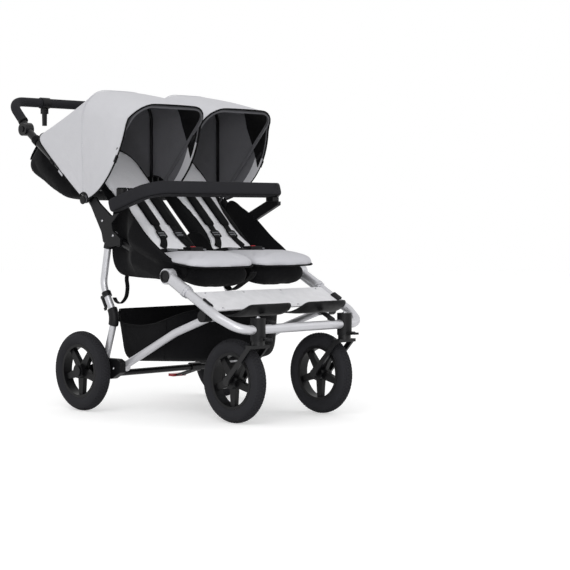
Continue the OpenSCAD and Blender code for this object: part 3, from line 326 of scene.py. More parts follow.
def strap(name, path, width, thickness, material, across):
    """A flat strap along a path. across is the direction of its width."""
    path = np.asarray(path, float)
    tangent = np.gradient(path, axis=0)
    profile = superellipse(width / 2, thickness / 2, 6, 12)
    rings = []
    for p, t in zip(path, tangent):
        wide = unit(np.asarray(across, float) - unit(t) * float(unit(t) @ across))
        rings.append(p + profile[:, :1] * wide + profile[:, 1:2] * np.cross(wide, unit(t)))
    return solid(name, rings, material)


def pillow(name, outline, rise, drop, power, to_frame, *materials, rings=12):
    """A closed, crowned form over a flat outline. It rises and drops from its rim to its middle."""
    innermost = 0.06
    outline = np.asarray(outline, float)
    centre = outline.mean(axis=0)
    share = np.sin(np.linspace(math.pi / 2, innermost, rings))
    rows = []
    for sign, height in ((1, rise), (-1, drop)):
        half = []
        for s in share:
            lift = sign * height * (1 - s ** power) ** (1 / power)
            half.append(flat(centre + (outline - centre) * s, lift))
        rows += half[::-1] if sign > 0 else half[1:]
    grid = np.array([to_frame(r) for r in rows])
    return solid(name, grid, *materials)


def lathe(name, profile, centre, axis, *materials, steps=48):
    """A turned form: (distance along the axis, radius) pairs spun round an axis through centre."""
    off_axis = (0.31, 0.23, 0.92)
    axis = unit(axis)
    first = unit(np.cross(axis, off_axis))
    second = np.cross(axis, first)
    spin = np.linspace(0, 2 * math.pi, steps, endpoint=False)
    ring = np.cos(spin)[:, None] * first + np.sin(spin)[:, None] * second
    rows = [np.asarray(centre, float) + axis * a + ring * r for a, r in profile]
    return solid(name, rows, *materials)


def smoothed(obj, levels=1):
    """A live subdivision, the same on screen and in the render."""
    sub = obj.modifiers.new("round", "SUBSURF")
    sub.levels = sub.render_levels = levels
    return obj


def walled(obj, thickness, lining=0, rim=0):
    """Gives an open sheet its thickness, inwards from its outer face."""
    wall = obj.modifiers.new("wall", "SOLIDIFY")
    wall.thickness = thickness
    wall.offset = -1
    wall.use_even_offset = True
    wall.material_offset = lining
    wall.material_offset_rim = rim
    return obj


def joined(name, objs):
    """Several new objects made one."""
    first = objs[0]
    with bpy.context.temp_override(
            active_object=first, object=first, selected_objects=objs, selected_editable_objects=objs):
        bpy.ops.object.join()
    first.name = first.data.name = name
    return first


def settled(obj, body, slot, *nodes):
    """The piece rides on its body and stands for its CAD nodes. Its slot is not used."""
    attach(obj, body)
    if nodes:
        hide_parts(*nodes)
    return obj


FILL_STEPS, FILL_PRESSURE, COVER_MASS = 20, 4, 0.3


def covered(obj, voxel):
    """Remeshes a form into an even, lightly smoothed cover with voxel-sized faces."""
    mesher = obj.modifiers.new("cover", "REMESH")
    mesher.mode = "VOXEL"
    mesher.voxel_size = voxel * MM
    view = bpy.context.evaluated_depsgraph_get()
    fresh = bpy.data.meshes.new_from_object(obj.evaluated_get(view), depsgraph=view)
    obj.modifiers.remove(mesher)
    for m in obj.data.materials:
        if m.name not in fresh.materials:
            fresh.materials.append(m)
    old, obj.data = obj.data, fresh
    bpy.data.meshes.remove(old)
    work = bmesh.new()
    work.from_mesh(obj.data)
    for _ in range(3):
        bmesh.ops.smooth_vert(
            work, verts=work.verts, factor=0.5, use_axis_x=True, use_axis_y=True, use_axis_z=True)
    work.to_mesh(obj.data)
    work.free()


def filled(obj, swell, voxel=5.0, hold=None, floor=None):
    """Fills a cover as its padding does: remeshed, then blown up as cloth by swell at most.
    hold picks the points that stay, and floor puts the blown points back inside their limits."""
    covered(obj, voxel)
    before = np.array([v.co for v in obj.data.vertices])
    cloth = obj.modifiers.new("filling", "CLOTH")
    cloth.settings.quality = 5
    cloth.settings.mass = COVER_MASS
    cloth.settings.use_pressure = True
    cloth.settings.uniform_pressure_force = FILL_PRESSURE
    cloth.settings.effector_weights.gravity = 0
    if hold is not None:
        seam = obj.vertex_groups.new(name="seam")
        seam.add([int(i) for i in np.nonzero(hold(before))[0]], 1.0, "REPLACE")
        cloth.settings.vertex_group_mass = "seam"
    cloth.point_cache.frame_start, cloth.point_cache.frame_end = 1, FILL_STEPS
    scene = bpy.context.scene
    for step in range(1, FILL_STEPS + 1):
        scene.frame_set(step)
    blown = obj.evaluated_get(bpy.context.evaluated_depsgraph_get())
    after = np.array([v.co for v in blown.to_mesh().vertices])
    blown.to_mesh_clear()
    obj.modifiers.remove(cloth)
    scene.frame_set(1)
    move = after - before
    move *= np.minimum(1, swell / np.maximum(np.linalg.norm(move, axis=1), 1e-9))[:, None]
    placed = before + move if floor is None else floor(before + move)
    obj.data.vertices.foreach_set("co", placed.astype(np.float32).ravel())
    obj.data.update()
    obj.data.shade_smooth()
    obj.vertex_groups.clear()
    return obj


# ---------------------------------------------------------------- repeated trim, in Geometry Nodes

def new_tree(name, *inputs):
    """An empty node tree with these inputs: (name, socket type, default)."""
    tree = bpy.data.node_groups.new(name, "GeometryNodeTree")
    for label, kind, value in inputs:
        socket = tree.interface.new_socket(label, in_out="INPUT", socket_type=kind)
        if value is not None:
            socket.default_value = value
    tree.interface.new_socket("Geometry", in_out="OUTPUT", socket_type="NodeSocketGeometry")
    return tree, tree.nodes.new("NodeGroupInput"), tree.nodes.new("NodeGroupOutput")


def chained(tree, source, *steps):
    """Adds nodes in a row, each fed by the one before.
    A step is (kind, {input: value or socket}, {property: value})."""
    for kind, inputs, settings in steps:
        made = tree.nodes.new(kind)
        for key, value in settings.items():
            setattr(made, key, value)
        if source is not None:
            tree.links.new(source, made.inputs[0])
        for key, value in inputs.items():
            if isinstance(value, bpy.types.NodeSocket):
                tree.links.new(value, made.inputs[key])
            else:
                made.inputs[key].default_value = value
        source = made.outputs[0]
    return source


def combined(tree, **sockets):
    """A vector whose named parts come from sockets."""
    made = tree.nodes.new("ShaderNodeCombineXYZ")
    for part, socket in sockets.items():
        tree.links.new(socket, made.inputs[part])
    return made.outputs[0]


def stitch_tree():
    """Stitches at even distances along the lines of a mesh."""
    tree, given, out = new_tree(
        "stitch_run", ("Geometry", "NodeSocketGeometry", None), ("Pitch", "NodeSocketFloat", 0.006),
        ("Stitch", "NodeSocketVector", (0.0019, 0.0004, 0.0004)), ("Thread", "NodeSocketMaterial", None))
    bead = chained(tree, None, ("GeometryNodeMeshUVSphere", {"Segments": 6, "Rings": 4, "Radius": 1.0}, {}))
    curve = chained(
        tree, given.outputs["Geometry"], ("GeometryNodeMeshToCurve", {}, {}),
        ("GeometryNodeResampleCurve", {"Length": given.outputs["Pitch"]}, {"mode": "LENGTH"}))
    tangent = tree.nodes.new("GeometryNodeInputTangent")
    turn = tree.nodes.new("FunctionNodeAlignRotationToVector")
    turn.axis = "X"
    tree.links.new(tangent.outputs[0], turn.inputs["Vector"])
    done = chained(
        tree, curve,
        ("GeometryNodeInstanceOnPoints", {"Instance": bead, "Rotation": turn.outputs[0],
                                          "Scale": given.outputs["Stitch"]}, {}),
        ("GeometryNodeRealizeInstances", {}, {}),
        ("GeometryNodeSetMaterial", {"Material": given.outputs["Thread"]}, {}))
    tree.links.new(done, out.inputs[0])
    return tree


def tread_tree():
    """One ring of tread blocks round the Z axis."""
    tree, given, out = new_tree(
        "tread_ring", ("Count", "NodeSocketInt", 72), ("Radius", "NodeSocketFloat", 0.125),
        *((part, "NodeSocketFloat", 0.0) for part in ("Shift", "Start", "Lean", "Slant")),
        ("Block", "NodeSocketVector", (0.003, 0.006, 0.01)), ("Rubber", "NodeSocketMaterial", None))
    block = chained(tree, None, ("GeometryNodeMeshCube", {"Size": given.outputs["Block"]}, {}))
    ring = chained(tree, None, ("GeometryNodeMeshCircle", {"Vertices": given.outputs["Count"],
                                                           "Radius": given.outputs["Radius"]}, {}))
    place = tree.nodes.new("GeometryNodeInputPosition")
    parts = tree.nodes.new("ShaderNodeSeparateXYZ")
    tree.links.new(place.outputs[0], parts.inputs[0])
    angle = tree.nodes.new("ShaderNodeMath")
    angle.operation = "ARCTAN2"
    tree.links.new(parts.outputs["Y"], angle.inputs[0])
    tree.links.new(parts.outputs["X"], angle.inputs[1])
    euler = combined(tree, X=given.outputs["Slant"], Y=given.outputs["Lean"], Z=angle.outputs[0])
    spin = combined(tree, Z=given.outputs["Start"])
    shift = combined(tree, Z=given.outputs["Shift"])
    done = chained(
        tree, ring,
        ("GeometryNodeInstanceOnPoints", {"Instance": block, "Rotation": euler}, {}),
        ("GeometryNodeRealizeInstances", {}, {}),
        ("GeometryNodeTransform", {"Translation": shift, "Rotation": spin}, {}),
        ("GeometryNodeSetMaterial", {"Material": given.outputs["Rubber"]}, {}))
    tree.links.new(done, out.inputs[0])
    return tree


def screw_tree():
    """A domed screw on a washer at each point of a mesh, all turned the same way."""
    tree, given, out = new_tree(
        "screw_set", ("Geometry", "NodeSocketGeometry", None), ("Radius", "NodeSocketFloat", 0.004),
        ("Turn", "NodeSocketRotation", None), ("Metal", "NodeSocketMaterial", None))
    washer = chained(
        tree, None, ("GeometryNodeMeshCylinder", {"Vertices": 16, "Radius": 1.0, "Depth": 0.35}, {}))
    dome = chained(
        tree, None, ("GeometryNodeMeshUVSphere", {"Segments": 12, "Rings": 6, "Radius": 0.74}, {}),
        ("GeometryNodeTransform", {"Scale": (1, 1, 0.72), "Translation": (0, 0, 0.12)}, {}))
    slot = chained(
        tree, None, ("GeometryNodeMeshCube", {"Size": (1.0, 0.16, 0.14)}, {}),
        ("GeometryNodeTransform", {"Translation": (0, 0, 0.62)}, {}))
    whole = tree.nodes.new("GeometryNodeJoinGeometry")
    for part in (washer, dome, slot):
        tree.links.new(part, whole.inputs[0])
    size = combined(tree, **{part: given.outputs["Radius"] for part in "XYZ"})
    done = chained(
        tree, given.outputs["Geometry"],
        ("GeometryNodeInstanceOnPoints", {"Instance": whole.outputs[0], "Rotation": given.outputs["Turn"],
                                          "Scale": size}, {}),
        ("GeometryNodeRealizeInstances", {}, {}),
        ("GeometryNodeSetMaterial", {"Material": given.outputs["Metal"]}, {}))
    tree.links.new(done, out.inputs[0])
    return tree


def shading_tree():
    """Joins the loose triangles of a CAD node and shades them smooth, but for its sharp edges."""
    tree, given, out = new_tree(
        "soft_shading", ("Geometry", "NodeSocketGeometry", None), ("Sharp", "NodeSocketFloat", 0.6))
    bend = tree.nodes.new("GeometryNodeInputMeshEdgeAngle")
    gentle = tree.nodes.new("FunctionNodeCompare")
    gentle.data_type, gentle.operation = "FLOAT", "LESS_THAN"
    tree.links.new(bend.outputs["Unsigned Angle"], gentle.inputs[0])
    tree.links.new(given.outputs["Sharp"], gentle.inputs[1])
    done = chained(
        tree, given.outputs["Geometry"],
        ("GeometryNodeRemoveAttribute", {"Name": "custom_normal"}, {}),
        ("GeometryNodeMergeByDistance", {"Distance": 0.00002}, {}),
        ("GeometryNodeSetShadeSmooth", {"Shade Smooth": True}, {"domain": "FACE"}),
        ("GeometryNodeSetShadeSmooth", {"Shade Smooth": gentle.outputs[0]}, {"domain": "EDGE"}))
    tree.links.new(done, out.inputs[0])
    return tree


TREES = {}


def tree_of(build):
    if build.__name__ not in TREES:
        TREES[build.__name__] = build()
    return TREES[build.__name__]


def set_inputs(modifier, values):
    """Sets a tree's inputs by the identifiers of their sockets."""
    for item in modifier.node_group.interface.items_tree:
        if item.item_type == "SOCKET" and item.in_out == "INPUT" and item.name in values:
            modifier[item.identifier] = values[item.name]


def grown(name, build, base, **values):
    """Runs a tree on a mesh and returns what it makes as a plain mesh piece."""
    holder = bpy.data.objects.new(name, base)
    maker = holder.modifiers.new("maker", "NODES")
    maker.node_group = tree_of(build)
    set_inputs(maker, values)
    bpy.context.scene.collection.objects.link(holder)
    view = bpy.context.evaluated_depsgraph_get()
    made = bpy.data.meshes.new_from_object(holder.evaluated_get(view), depsgraph=view)
    holder.modifiers.remove(maker)
    holder.data = made
    made.shade_smooth()
    return holder


def lines_mesh(lines, closed=False):
    """A mesh of plain edges along each line."""
    mesh = bpy.data.meshes.new("lines")
    points, edges = [], []
    for line in lines:
        start = len(points)
        points += [tuple(p) for p in line]
        edges += [(start + k, start + k + 1) for k in range(len(line) - 1)]
        if closed:
            edges.append((len(points) - 1, start))
    mesh.from_pydata(points, edges, [])
    return mesh


def stitches(name, lines, material, closed=False):
    base = lines_mesh(lines, closed)
    return grown(name, stitch_tree, base, Pitch=sizes().stitch_pitch, Thread=material)


# ---------------------------------------------------------------- finishes

def shader_of(name, colour, rough, metallic=0.0, sheen=0.0, coat=0.0, shine=0.5):
    """A new material with its fixed values on the shader's own sockets."""
    mat = bpy.data.materials.new(name)
    mat.use_nodes = True
    mat.diffuse_color = (*colour, 1)
    shader = mat.node_tree.nodes["Principled BSDF"]
    for socket, value in (
            ("Base Color", (*colour, 1)), ("Roughness", rough), ("Metallic", metallic),
            ("Sheen Weight", sheen), ("Sheen Roughness", 0.5), ("Specular IOR Level", shine),
            ("Coat Weight", coat), ("Coat Roughness", 0.25)):
        shader.inputs[socket].default_value = value
    return mat, mat.node_tree, shader


def texture(tree, kind, coords, **values):
    made = tree.nodes.new(kind)
    for key, value in values.items():
        if key in made.inputs:
            made.inputs[key].default_value = value
        else:
            setattr(made, key, value)
    tree.links.new(coords, made.inputs["Vector"])
    return made


def noise(tree, coords, scale, detail, **values):
    return texture(tree, "ShaderNodeTexNoise", coords, Scale=scale, Detail=detail, **values).outputs["Fac"]


def coordinates(tree, kind="Object", scale=(1, 1, 1)):
    given = tree.nodes.new("ShaderNodeTexCoord")
    mapped = tree.nodes.new("ShaderNodeMapping")
    mapped.inputs["Scale"].default_value = scale
    tree.links.new(given.outputs[kind], mapped.inputs["Vector"])
    return mapped.outputs[0]


def mixed(tree, factor, low, high):
    """A colour between two, by a factor."""
    made = tree.nodes.new("ShaderNodeMix")
    made.data_type = "RGBA"
    tree.links.new(factor, made.inputs[0])
    made.inputs[6].default_value = (*low, 1)
    made.inputs[7].default_value = (*high, 1)
    return made.outputs[2]


def sums(tree, operation, first, second):
    made = tree.nodes.new("ShaderNodeMath")
    made.operation = operation
    for k, value in enumerate((first, second)):
        if isinstance(value, bpy.types.NodeSocket):
            tree.links.new(value, made.inputs[k])
        else:
            made.inputs[k].default_value = value
    return made.outputs[0]


def ranged(tree, value, low, high):
    made = tree.nodes.new("ShaderNodeMapRange")
    tree.links.new(value, made.inputs["Value"])
    made.inputs["To Min"].default_value = low
    made.inputs["To Max"].default_value = high
    return made.outputs[0]


def toned(tree, shader, factor, colour, low, high):
    """The base colour goes from a low to a high share of a colour."""
    tint = mixed(tree, factor, scaled(colour, low), scaled(colour, high))
    tree.links.new(tint, shader.inputs["Base Color"])


def dulled(tree, shader, factor, low, high):
    """The roughness goes from low to high."""
    tree.links.new(ranged(tree, factor, low, min(1, high)), shader.inputs["Roughness"])


def relief(tree, shader, height, depth, strength=1.0):
    bump = tree.nodes.new("ShaderNodeBump")
    bump.inputs["Strength"].default_value = strength
    bump.inputs["Distance"].default_value = depth
    tree.links.new(height, bump.inputs["Height"])
    tree.links.new(bump.outputs[0], shader.inputs["Normal"])


def scaled(colour, share):
    return tuple(min(1, c * share) for c in colour)


def seen_rays(tree):
    """1 for rays that show a thing to the camera, straight, mirrored or through glass."""
    ray = tree.nodes.new("ShaderNodeLightPath")
    bent = sums(tree, "MAXIMUM", ray.outputs["Is Glossy Ray"], ray.outputs["Is Transmission Ray"])
    return sums(tree, "MAXIMUM", ray.outputs["Is Camera Ray"], bent)


# Length of one band of a wave texture at scale 1.
WAVE_LENGTH = 0.314


def woven(name, colour, thread=0.9, rough=0.86, mottle=0.1, depth=0.16, sheen=0.05, coords="Object"):
    """Plain-woven cloth: crossing threads, a faint unevenness of the dye and soft creases."""
    dye_share, third_share, crease_depth, spread = 0.75, 0.5, 6, 0.06
    mat, tree, shader = shader_of(name, colour, rough, sheen=sheen, shine=0.06)
    base = coordinates(tree, coords)
    pitch = WAVE_LENGTH / (thread * MM)
    waves = [texture(tree, "ShaderNodeTexWave", base, Scale=pitch, Distortion=0.6, bands_direction=way)
             for way in "XYZ"]
    warp, weft, third = (wave.outputs["Fac"] for wave in waves)
    threads = sums(tree, "MULTIPLY", warp, weft)
    if coords == "Object":
        threads = sums(tree, "ADD", threads, sums(tree, "MULTIPLY", third, third_share))
    dye = noise(tree, base, scale=26.0, detail=4.0, Roughness=0.6)
    tint = sums(tree, "ADD", sums(tree, "MULTIPLY", dye, dye_share),
                sums(tree, "MULTIPLY", threads, 1 - dye_share))
    toned(tree, shader, tint, colour, 1 - mottle, 1 + mottle)
    fuzz = noise(tree, base, scale=900.0, detail=2.0)
    dulled(tree, shader, fuzz, rough - spread, rough + spread)
    crease = noise(tree, base, scale=17.0, detail=3.0)
    height = sums(tree, "ADD", sums(tree, "MULTIPLY", threads, depth),
                  sums(tree, "MULTIPLY", crease, crease_depth))
    relief(tree, shader, height, depth=0.0009, strength=0.55)
    return mat


def moulded(name, colour, rough=0.48, grain=1500.0, depth=0.00006, coat=0.0):
    """Moulded plastic: a fine spark-eroded grain and slightly uneven gloss."""
    mat, tree, shader = shader_of(name, colour, rough, coat=coat, shine=0.2)
    base = coordinates(tree)
    broad = noise(tree, base, scale=40.0, detail=5.0)
    toned(tree, shader, broad, colour, 0.88, 1.14)
    dulled(tree, shader, broad, rough - 0.08, rough + 0.1)
    relief(tree, shader, noise(tree, base, scale=grain, detail=2.0), depth)
    return mat


def satin(name, colour, rough=0.36, metallic=0.6):
    """Anodised tube: faint drawn lines and a soft uneven gloss."""
    mat, tree, shader = shader_of(name, colour, rough, metallic=metallic)
    drawn = noise(tree, coordinates(tree, scale=(1, 0.12, 0.12)), scale=2600.0, detail=2.0)
    broad = noise(tree, coordinates(tree), scale=30.0, detail=4.0)
    toned(tree, shader, broad, colour, 0.93, 1.05)
    dulled(tree, shader, broad, rough - 0.05, rough + 0.07)
    relief(tree, shader, drawn, depth=0.00002)
    return mat


def cellular(name, colour, rough=0.9, cell=520.0, depth=0.0003, mottle=0.12):
    """Skinned foam or rubber: small cells, dull, a little paler where it is rubbed."""
    mat, tree, shader = shader_of(name, colour, rough, sheen=0.02, shine=0.1)
    base = coordinates(tree)
    cells = texture(tree, "ShaderNodeTexVoronoi", base, Scale=cell)
    rubbed = noise(tree, base, scale=22.0, detail=5.0)
    toned(tree, shader, rubbed, colour, 1 - mottle, 1 + mottle)
    dulled(tree, shader, rubbed, rough - 0.08, rough + 0.05)
    relief(tree, shader, cells.outputs["Distance"], depth, strength=0.5)
    return mat


FINISHES = {}


def finish(name):
    """A finish by its name, made once."""
    if name not in FINISHES:
        c = colours()
        maker, colour, values = {
            "canopy_cloth": (woven, c.canopy, dict(thread=0.8, mottle=0.04, depth=0.1, coords="UV")),
            "canopy_lining": (woven, c.lining, dict(thread=0.8, mottle=0.08, coords="UV")),
            "pad_cloth": (woven, c.pad, dict(thread=1.1, mottle=0.05)),
            "liner_cloth": (woven, c.liner, dict(thread=1.1, mottle=0.06)),
            "black_cloth": (woven, c.black_cloth, dict(thread=0.9, mottle=0.22, sheen=0.06)),
            "bow_sleeve": (woven, scaled(c.lining, 0.8), dict(thread=0.8, mottle=0.08)),
            "binding": (woven, scaled(c.black_cloth, 0.8), dict(thread=0.7, mottle=0.15)),
            "webbing": (woven, c.webbing, dict(thread=1.6, rough=0.7, mottle=0.2, depth=0.5)),
            "grey_thread": (woven, scaled(c.pad, 0.9), dict(thread=0.3, rough=0.7)),
            "black_thread": (woven, scaled(c.black_cloth, 1.8), dict(thread=0.3, rough=0.7)),
            "foam": (cellular, c.foam, {}),
            "tyre_rubber": (cellular, c.tyre, dict(rough=0.82, cell=700.0, depth=0.00012, mottle=0.16)),
            "silver_tube": (satin, c.silver, {}),
            "steel": (satin, tone(178, 178, 182), dict(rough=0.28, metallic=1.0)),
            "black_paint": (moulded, c.paint, dict(rough=0.36, grain=900.0, depth=0.00004, coat=0.15)),
            "black_plastic": (moulded, c.plastic, {}),
            "rim_plastic": (moulded, scaled(c.plastic, 0.7), dict(rough=0.4)),
            "grey_plastic": (moulded, tone(120, 121, 125), dict(rough=0.4)),
            "plate_plastic": (moulded, c.plate, dict(rough=0.42)),
            "red_plastic": (moulded, c.red, dict(rough=0.28, grain=700.0, depth=0.00003, coat=0.3)),
        }[name]
        FINISHES[name] = maker(name, tuple(colour), **values)
    return FINISHES[name]


CAD_FINISHES = {
    "silver_tube": ("front_frame_tube", "hub_sleeves", "link_tubes", "rear_legs"),
    "steel": ("recline_rod",),
    "black_paint": (
        "seat_rails", "back_tubes", "cross_bar", "axle_beam", "foot_pedal", "handle_tube",
        "mid_bow_left", "mid_bow_right", "caster_fork_left", "caster_fork_right"),
    "black_plastic": (
        "side_joints", "bumper_arm", "buckles", "hub_lids", "caster_housings", "link_clamps", "leg_clamps",
        "axle_brackets", "fold_catch", "lock_lever_left", "lock_lever_right", "brake_housing", "brake_lever",
        "bumper_knob", "handle_button_left", "handle_button_right"),
    "rim_plastic": ("rear_rim_left", "rear_rim_right", "front_rim_left", "front_rim_right"),
    "plate_plastic": ("foot_plate",),
    "bow_sleeve": ("front_bow_left", "front_bow_right"),
    "red_plastic": ("pedal_pad", "buckle_button_left", "buckle_button_right"),
}
# Edges of a CAD node that bend by more than this many degrees stay sharp.
SHARP_EDGE = 32


# ---------------------------------------------------------------- operators

class PRAM_OT_stage(bpy.types.Operator):
    """Puts up the camera, the floor, the lamps and the pale surroundings."""

    bl_idname = "pram.stage"
    bl_label = "Stage"

    EYE, AIM = Vector((-3.6056, -4.0918, 0.6193)), Vector((0.1896, -0.2836, 0.3992))
    SENSOR, LENS = 36, 105.5
    # Name, place, width and power. All lamps point at one spot.
    LAMPS = (
        ("key_lamp", (-3.2, -2.2, 3.6), 2.6, 38), ("fill_lamp", (3.4, -3.0, 2.6), 3.0, 10),
        ("front_lamp", (-2.7, -3.9, 1.1), 1.6, 52), ("back_lamp", (0.8, 3.6, 3.4), 2.4, 24))
    LIT_SPOT = Vector((0, 0, 0.5))
    ROOM_LIGHT = 0.72
    FLOOR_RADII, FLOOR_SIDES = (0.4, 1.5, 5, 14), 64
    # Light that the floor adds towards the camera only, so that it meets the white behind it.
    FLOOR_GLOW = 0.42

    def execute(self, context):
        scene = context.scene
        scene.view_settings.view_transform = "Standard"
        lens = bpy.data.cameras.new("camera")
        lens.sensor_width, lens.lens = self.SENSOR, self.LENS
        scene.camera = self.placed(scene, "camera", lens, self.EYE, self.AIM)
        for name, place, size, power in self.LAMPS:
            lamp = bpy.data.lights.new(name, "AREA")
            lamp.shape, lamp.size, lamp.energy = "DISK", size, power
            self.placed(scene, name, lamp, Vector(place), self.LIT_SPOT)
        self.surroundings(scene)
        self.floor()
        return {"FINISHED"}

    def placed(self, scene, name, data, place, target):
        """A camera or lamp at a place, turned to its target."""
        obj = bpy.data.objects.new(name, data)
        obj.location = place
        obj.rotation_euler = (target - place).to_track_quat("-Z", "Y").to_euler()
        scene.collection.objects.link(obj)
        return obj

    def surroundings(self, scene):
        """A world that looks white and lights the scene more dimly."""
        world = bpy.data.worlds.new("pale_room")
        world.use_nodes = True
        scene.world = world
        tree = world.node_tree
        tree.nodes.clear()
        both = tree.nodes.new("ShaderNodeMixShader")
        tree.links.new(seen_rays(tree), both.inputs[0])
        for slot, strength in ((1, self.ROOM_LIGHT), (2, 1.0)):
            light = tree.nodes.new("ShaderNodeBackground")
            light.inputs["Strength"].default_value = strength
            light.inputs["Color"].default_value = (1, 1, 1, 1)
            tree.links.new(light.outputs[0], both.inputs[slot])
        out = tree.nodes.new("ShaderNodeOutputWorld")
        tree.links.new(both.outputs[0], out.inputs["Surface"])

    def floor(self):
        """A wide pale disc."""
        spin = np.linspace(0, 2 * math.pi, self.FLOOR_SIDES, endpoint=False)
        circle = np.column_stack([np.cos(spin), np.sin(spin), np.zeros(self.FLOOR_SIDES)])
        floor = shell("floor", [r * circle for r in self.FLOOR_RADII], wrap=True)
        work = bmesh.new()
        work.from_mesh(floor.data)
        hole = [e for e in work.edges if e.is_boundary and e.verts[0].co.length < 1]
        bmesh.ops.contextual_create(work, geom=hole)
        work.to_mesh(floor.data)
        work.free()
        face_out(floor, (0, 0, -1))
        paint = tuple(colours().floor)
        mat, tree, shader = shader_of("floor_paint", paint, 0.9)
        cloudy = noise(tree, coordinates(tree), scale=3.0, detail=3.0)
        toned(tree, shader, cloudy, paint, 0.99, 1.01)
        shader.inputs["Emission Color"].default_value = (1, 1, 1, 1)
        glow = sums(tree, "MULTIPLY", seen_rays(tree), self.FLOOR_GLOW)
        tree.links.new(glow, shader.inputs["Emission Strength"])
        floor.data.materials.append(mat)
        return floor


class PRAM_OT_frame(bpy.types.Operator):
    """Gives the tubes, joints, rims and mouldings of the frame their finishes."""

    bl_idname = "pram.frame"
    bl_label = "Frame finishes"

    def execute(self, context):
        for name, nodes in CAD_FINISHES.items():
            for node in nodes:
                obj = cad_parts[node]
                obj.data.materials.clear()
                obj.data.materials.append(finish(name))
                soft = obj.modifiers.new("soft_shading", "NODES")
                soft.node_group = tree_of(shading_tree)
                set_inputs(soft, {"Sharp": math.radians(SHARP_EDGE)})
        return {"FINISHED"}


class PRAM_OT_wheels(bpy.types.Operator):
    """Makes the four air tyres with their sidewall rings and tread blocks."""

    bl_idname = "pram.wheels"
    bl_label = "Tyres"

    # The tyre's section goes round from one bead over the crown to the other: steps on each side of
    # the crown, and the angle that they cover. The tread, its grooves and the raised rings are in steps.
    STEPS, WRAP, SPIN_STEPS = 46, 138, 96
    TREAD, GROOVES, RINGS = 17, (5, 6), (24, 34)
    GROOVE_DEPTH, RING_HEIGHT = 1.8, 0.5 * MM
    BEAD, BEAD_WALL = 86 * MM, 0.6 * MM
    # Rings of blocks: place across the tread, start and slant of the blocks, and their size.
    BLOCKS = ((0.0, 0.0, 0.5, (3.2, 5.4, 7.0)),
              (0.36, 0.5, 0.25, (3.2, 6.2, 6.6)), (-0.36, 0.5, -0.25, (3.2, 6.2, 6.6)),
              (0.68, 0.0, 0.0, (3.0, 4.6, 6.4)), (-0.68, 0.0, 0.0, (3.0, 4.6, 6.4)))
    BLOCK_SINK = 1.55 * MM

    def execute(self, context):
        for end in ("rear", "front"):
            for side, _ in SIDES:
                self.tyre(end, side)
        return {"FINISHED"}

    def section(self, half, core):
        """The tyre's section as (distance across, radius) pairs."""
        depth = sizes().tread_depth
        pairs = []
        for k in range(-self.STEPS, self.STEPS + 1):
            angle = math.radians(90 - k / self.STEPS * self.WRAP)
            swell = half
            if abs(k) < self.TREAD:
                swell -= depth * (self.GROOVE_DEPTH if abs(k) in self.GROOVES else 1.0)
            if abs(k) in self.RINGS:
                swell += self.RING_HEIGHT
            pairs.append((swell * math.cos(angle), max(core + swell * math.sin(angle), self.BEAD)))
        under = self.BEAD - self.BEAD_WALL
        return pairs + [(pairs[-1][0], under), (pairs[0][0], under)]

    def tyre(self, end, side):
        node = f"{end}_tyre_{side}"
        low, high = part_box(node)
        centre = (low + high) / 2
        radius, half = (high.z - low.z) / 2, (high.x - low.x) / 2
        core = radius - half
        spin = np.linspace(0, 2 * math.pi, self.SPIN_STEPS, endpoint=False)
        loops = [[(centre.x + x, centre.y + r * math.cos(a), centre.z + r * math.sin(a)) for a in spin]
                 for x, r in self.section(half, core)]
        rubber = finish("tyre_rubber")
        parts = [face_out(shell(node + "_body", loops, rubber, wrap=True, loop=True))]
        place = Matrix.Translation(centre) @ Euler((0, math.pi / 2, 0)).to_matrix().to_4x4()
        count, crown = sizes().tread_count, half - self.BLOCK_SINK
        for shift, start, slant, block in self.BLOCKS:
            tilt = math.asin(shift)
            ring = grown(node + "_tread", tread_tree, bpy.data.meshes.new("ring"), Count=count,
                         Radius=core + crown * math.cos(tilt), Shift=crown * shift,
                         Start=start * 2 * math.pi / count, Lean=-tilt, Slant=slant,
                         Block=tuple(b * MM for b in block), Rubber=rubber)
            ring.data.transform(place)
            ring.data.shade_flat()
            parts.append(ring)
        tyre = joined(f"{end}_wheel_tyre_{side}", parts)
        settled(tyre, f"{end}_wheel_{side}", "tyre", node)


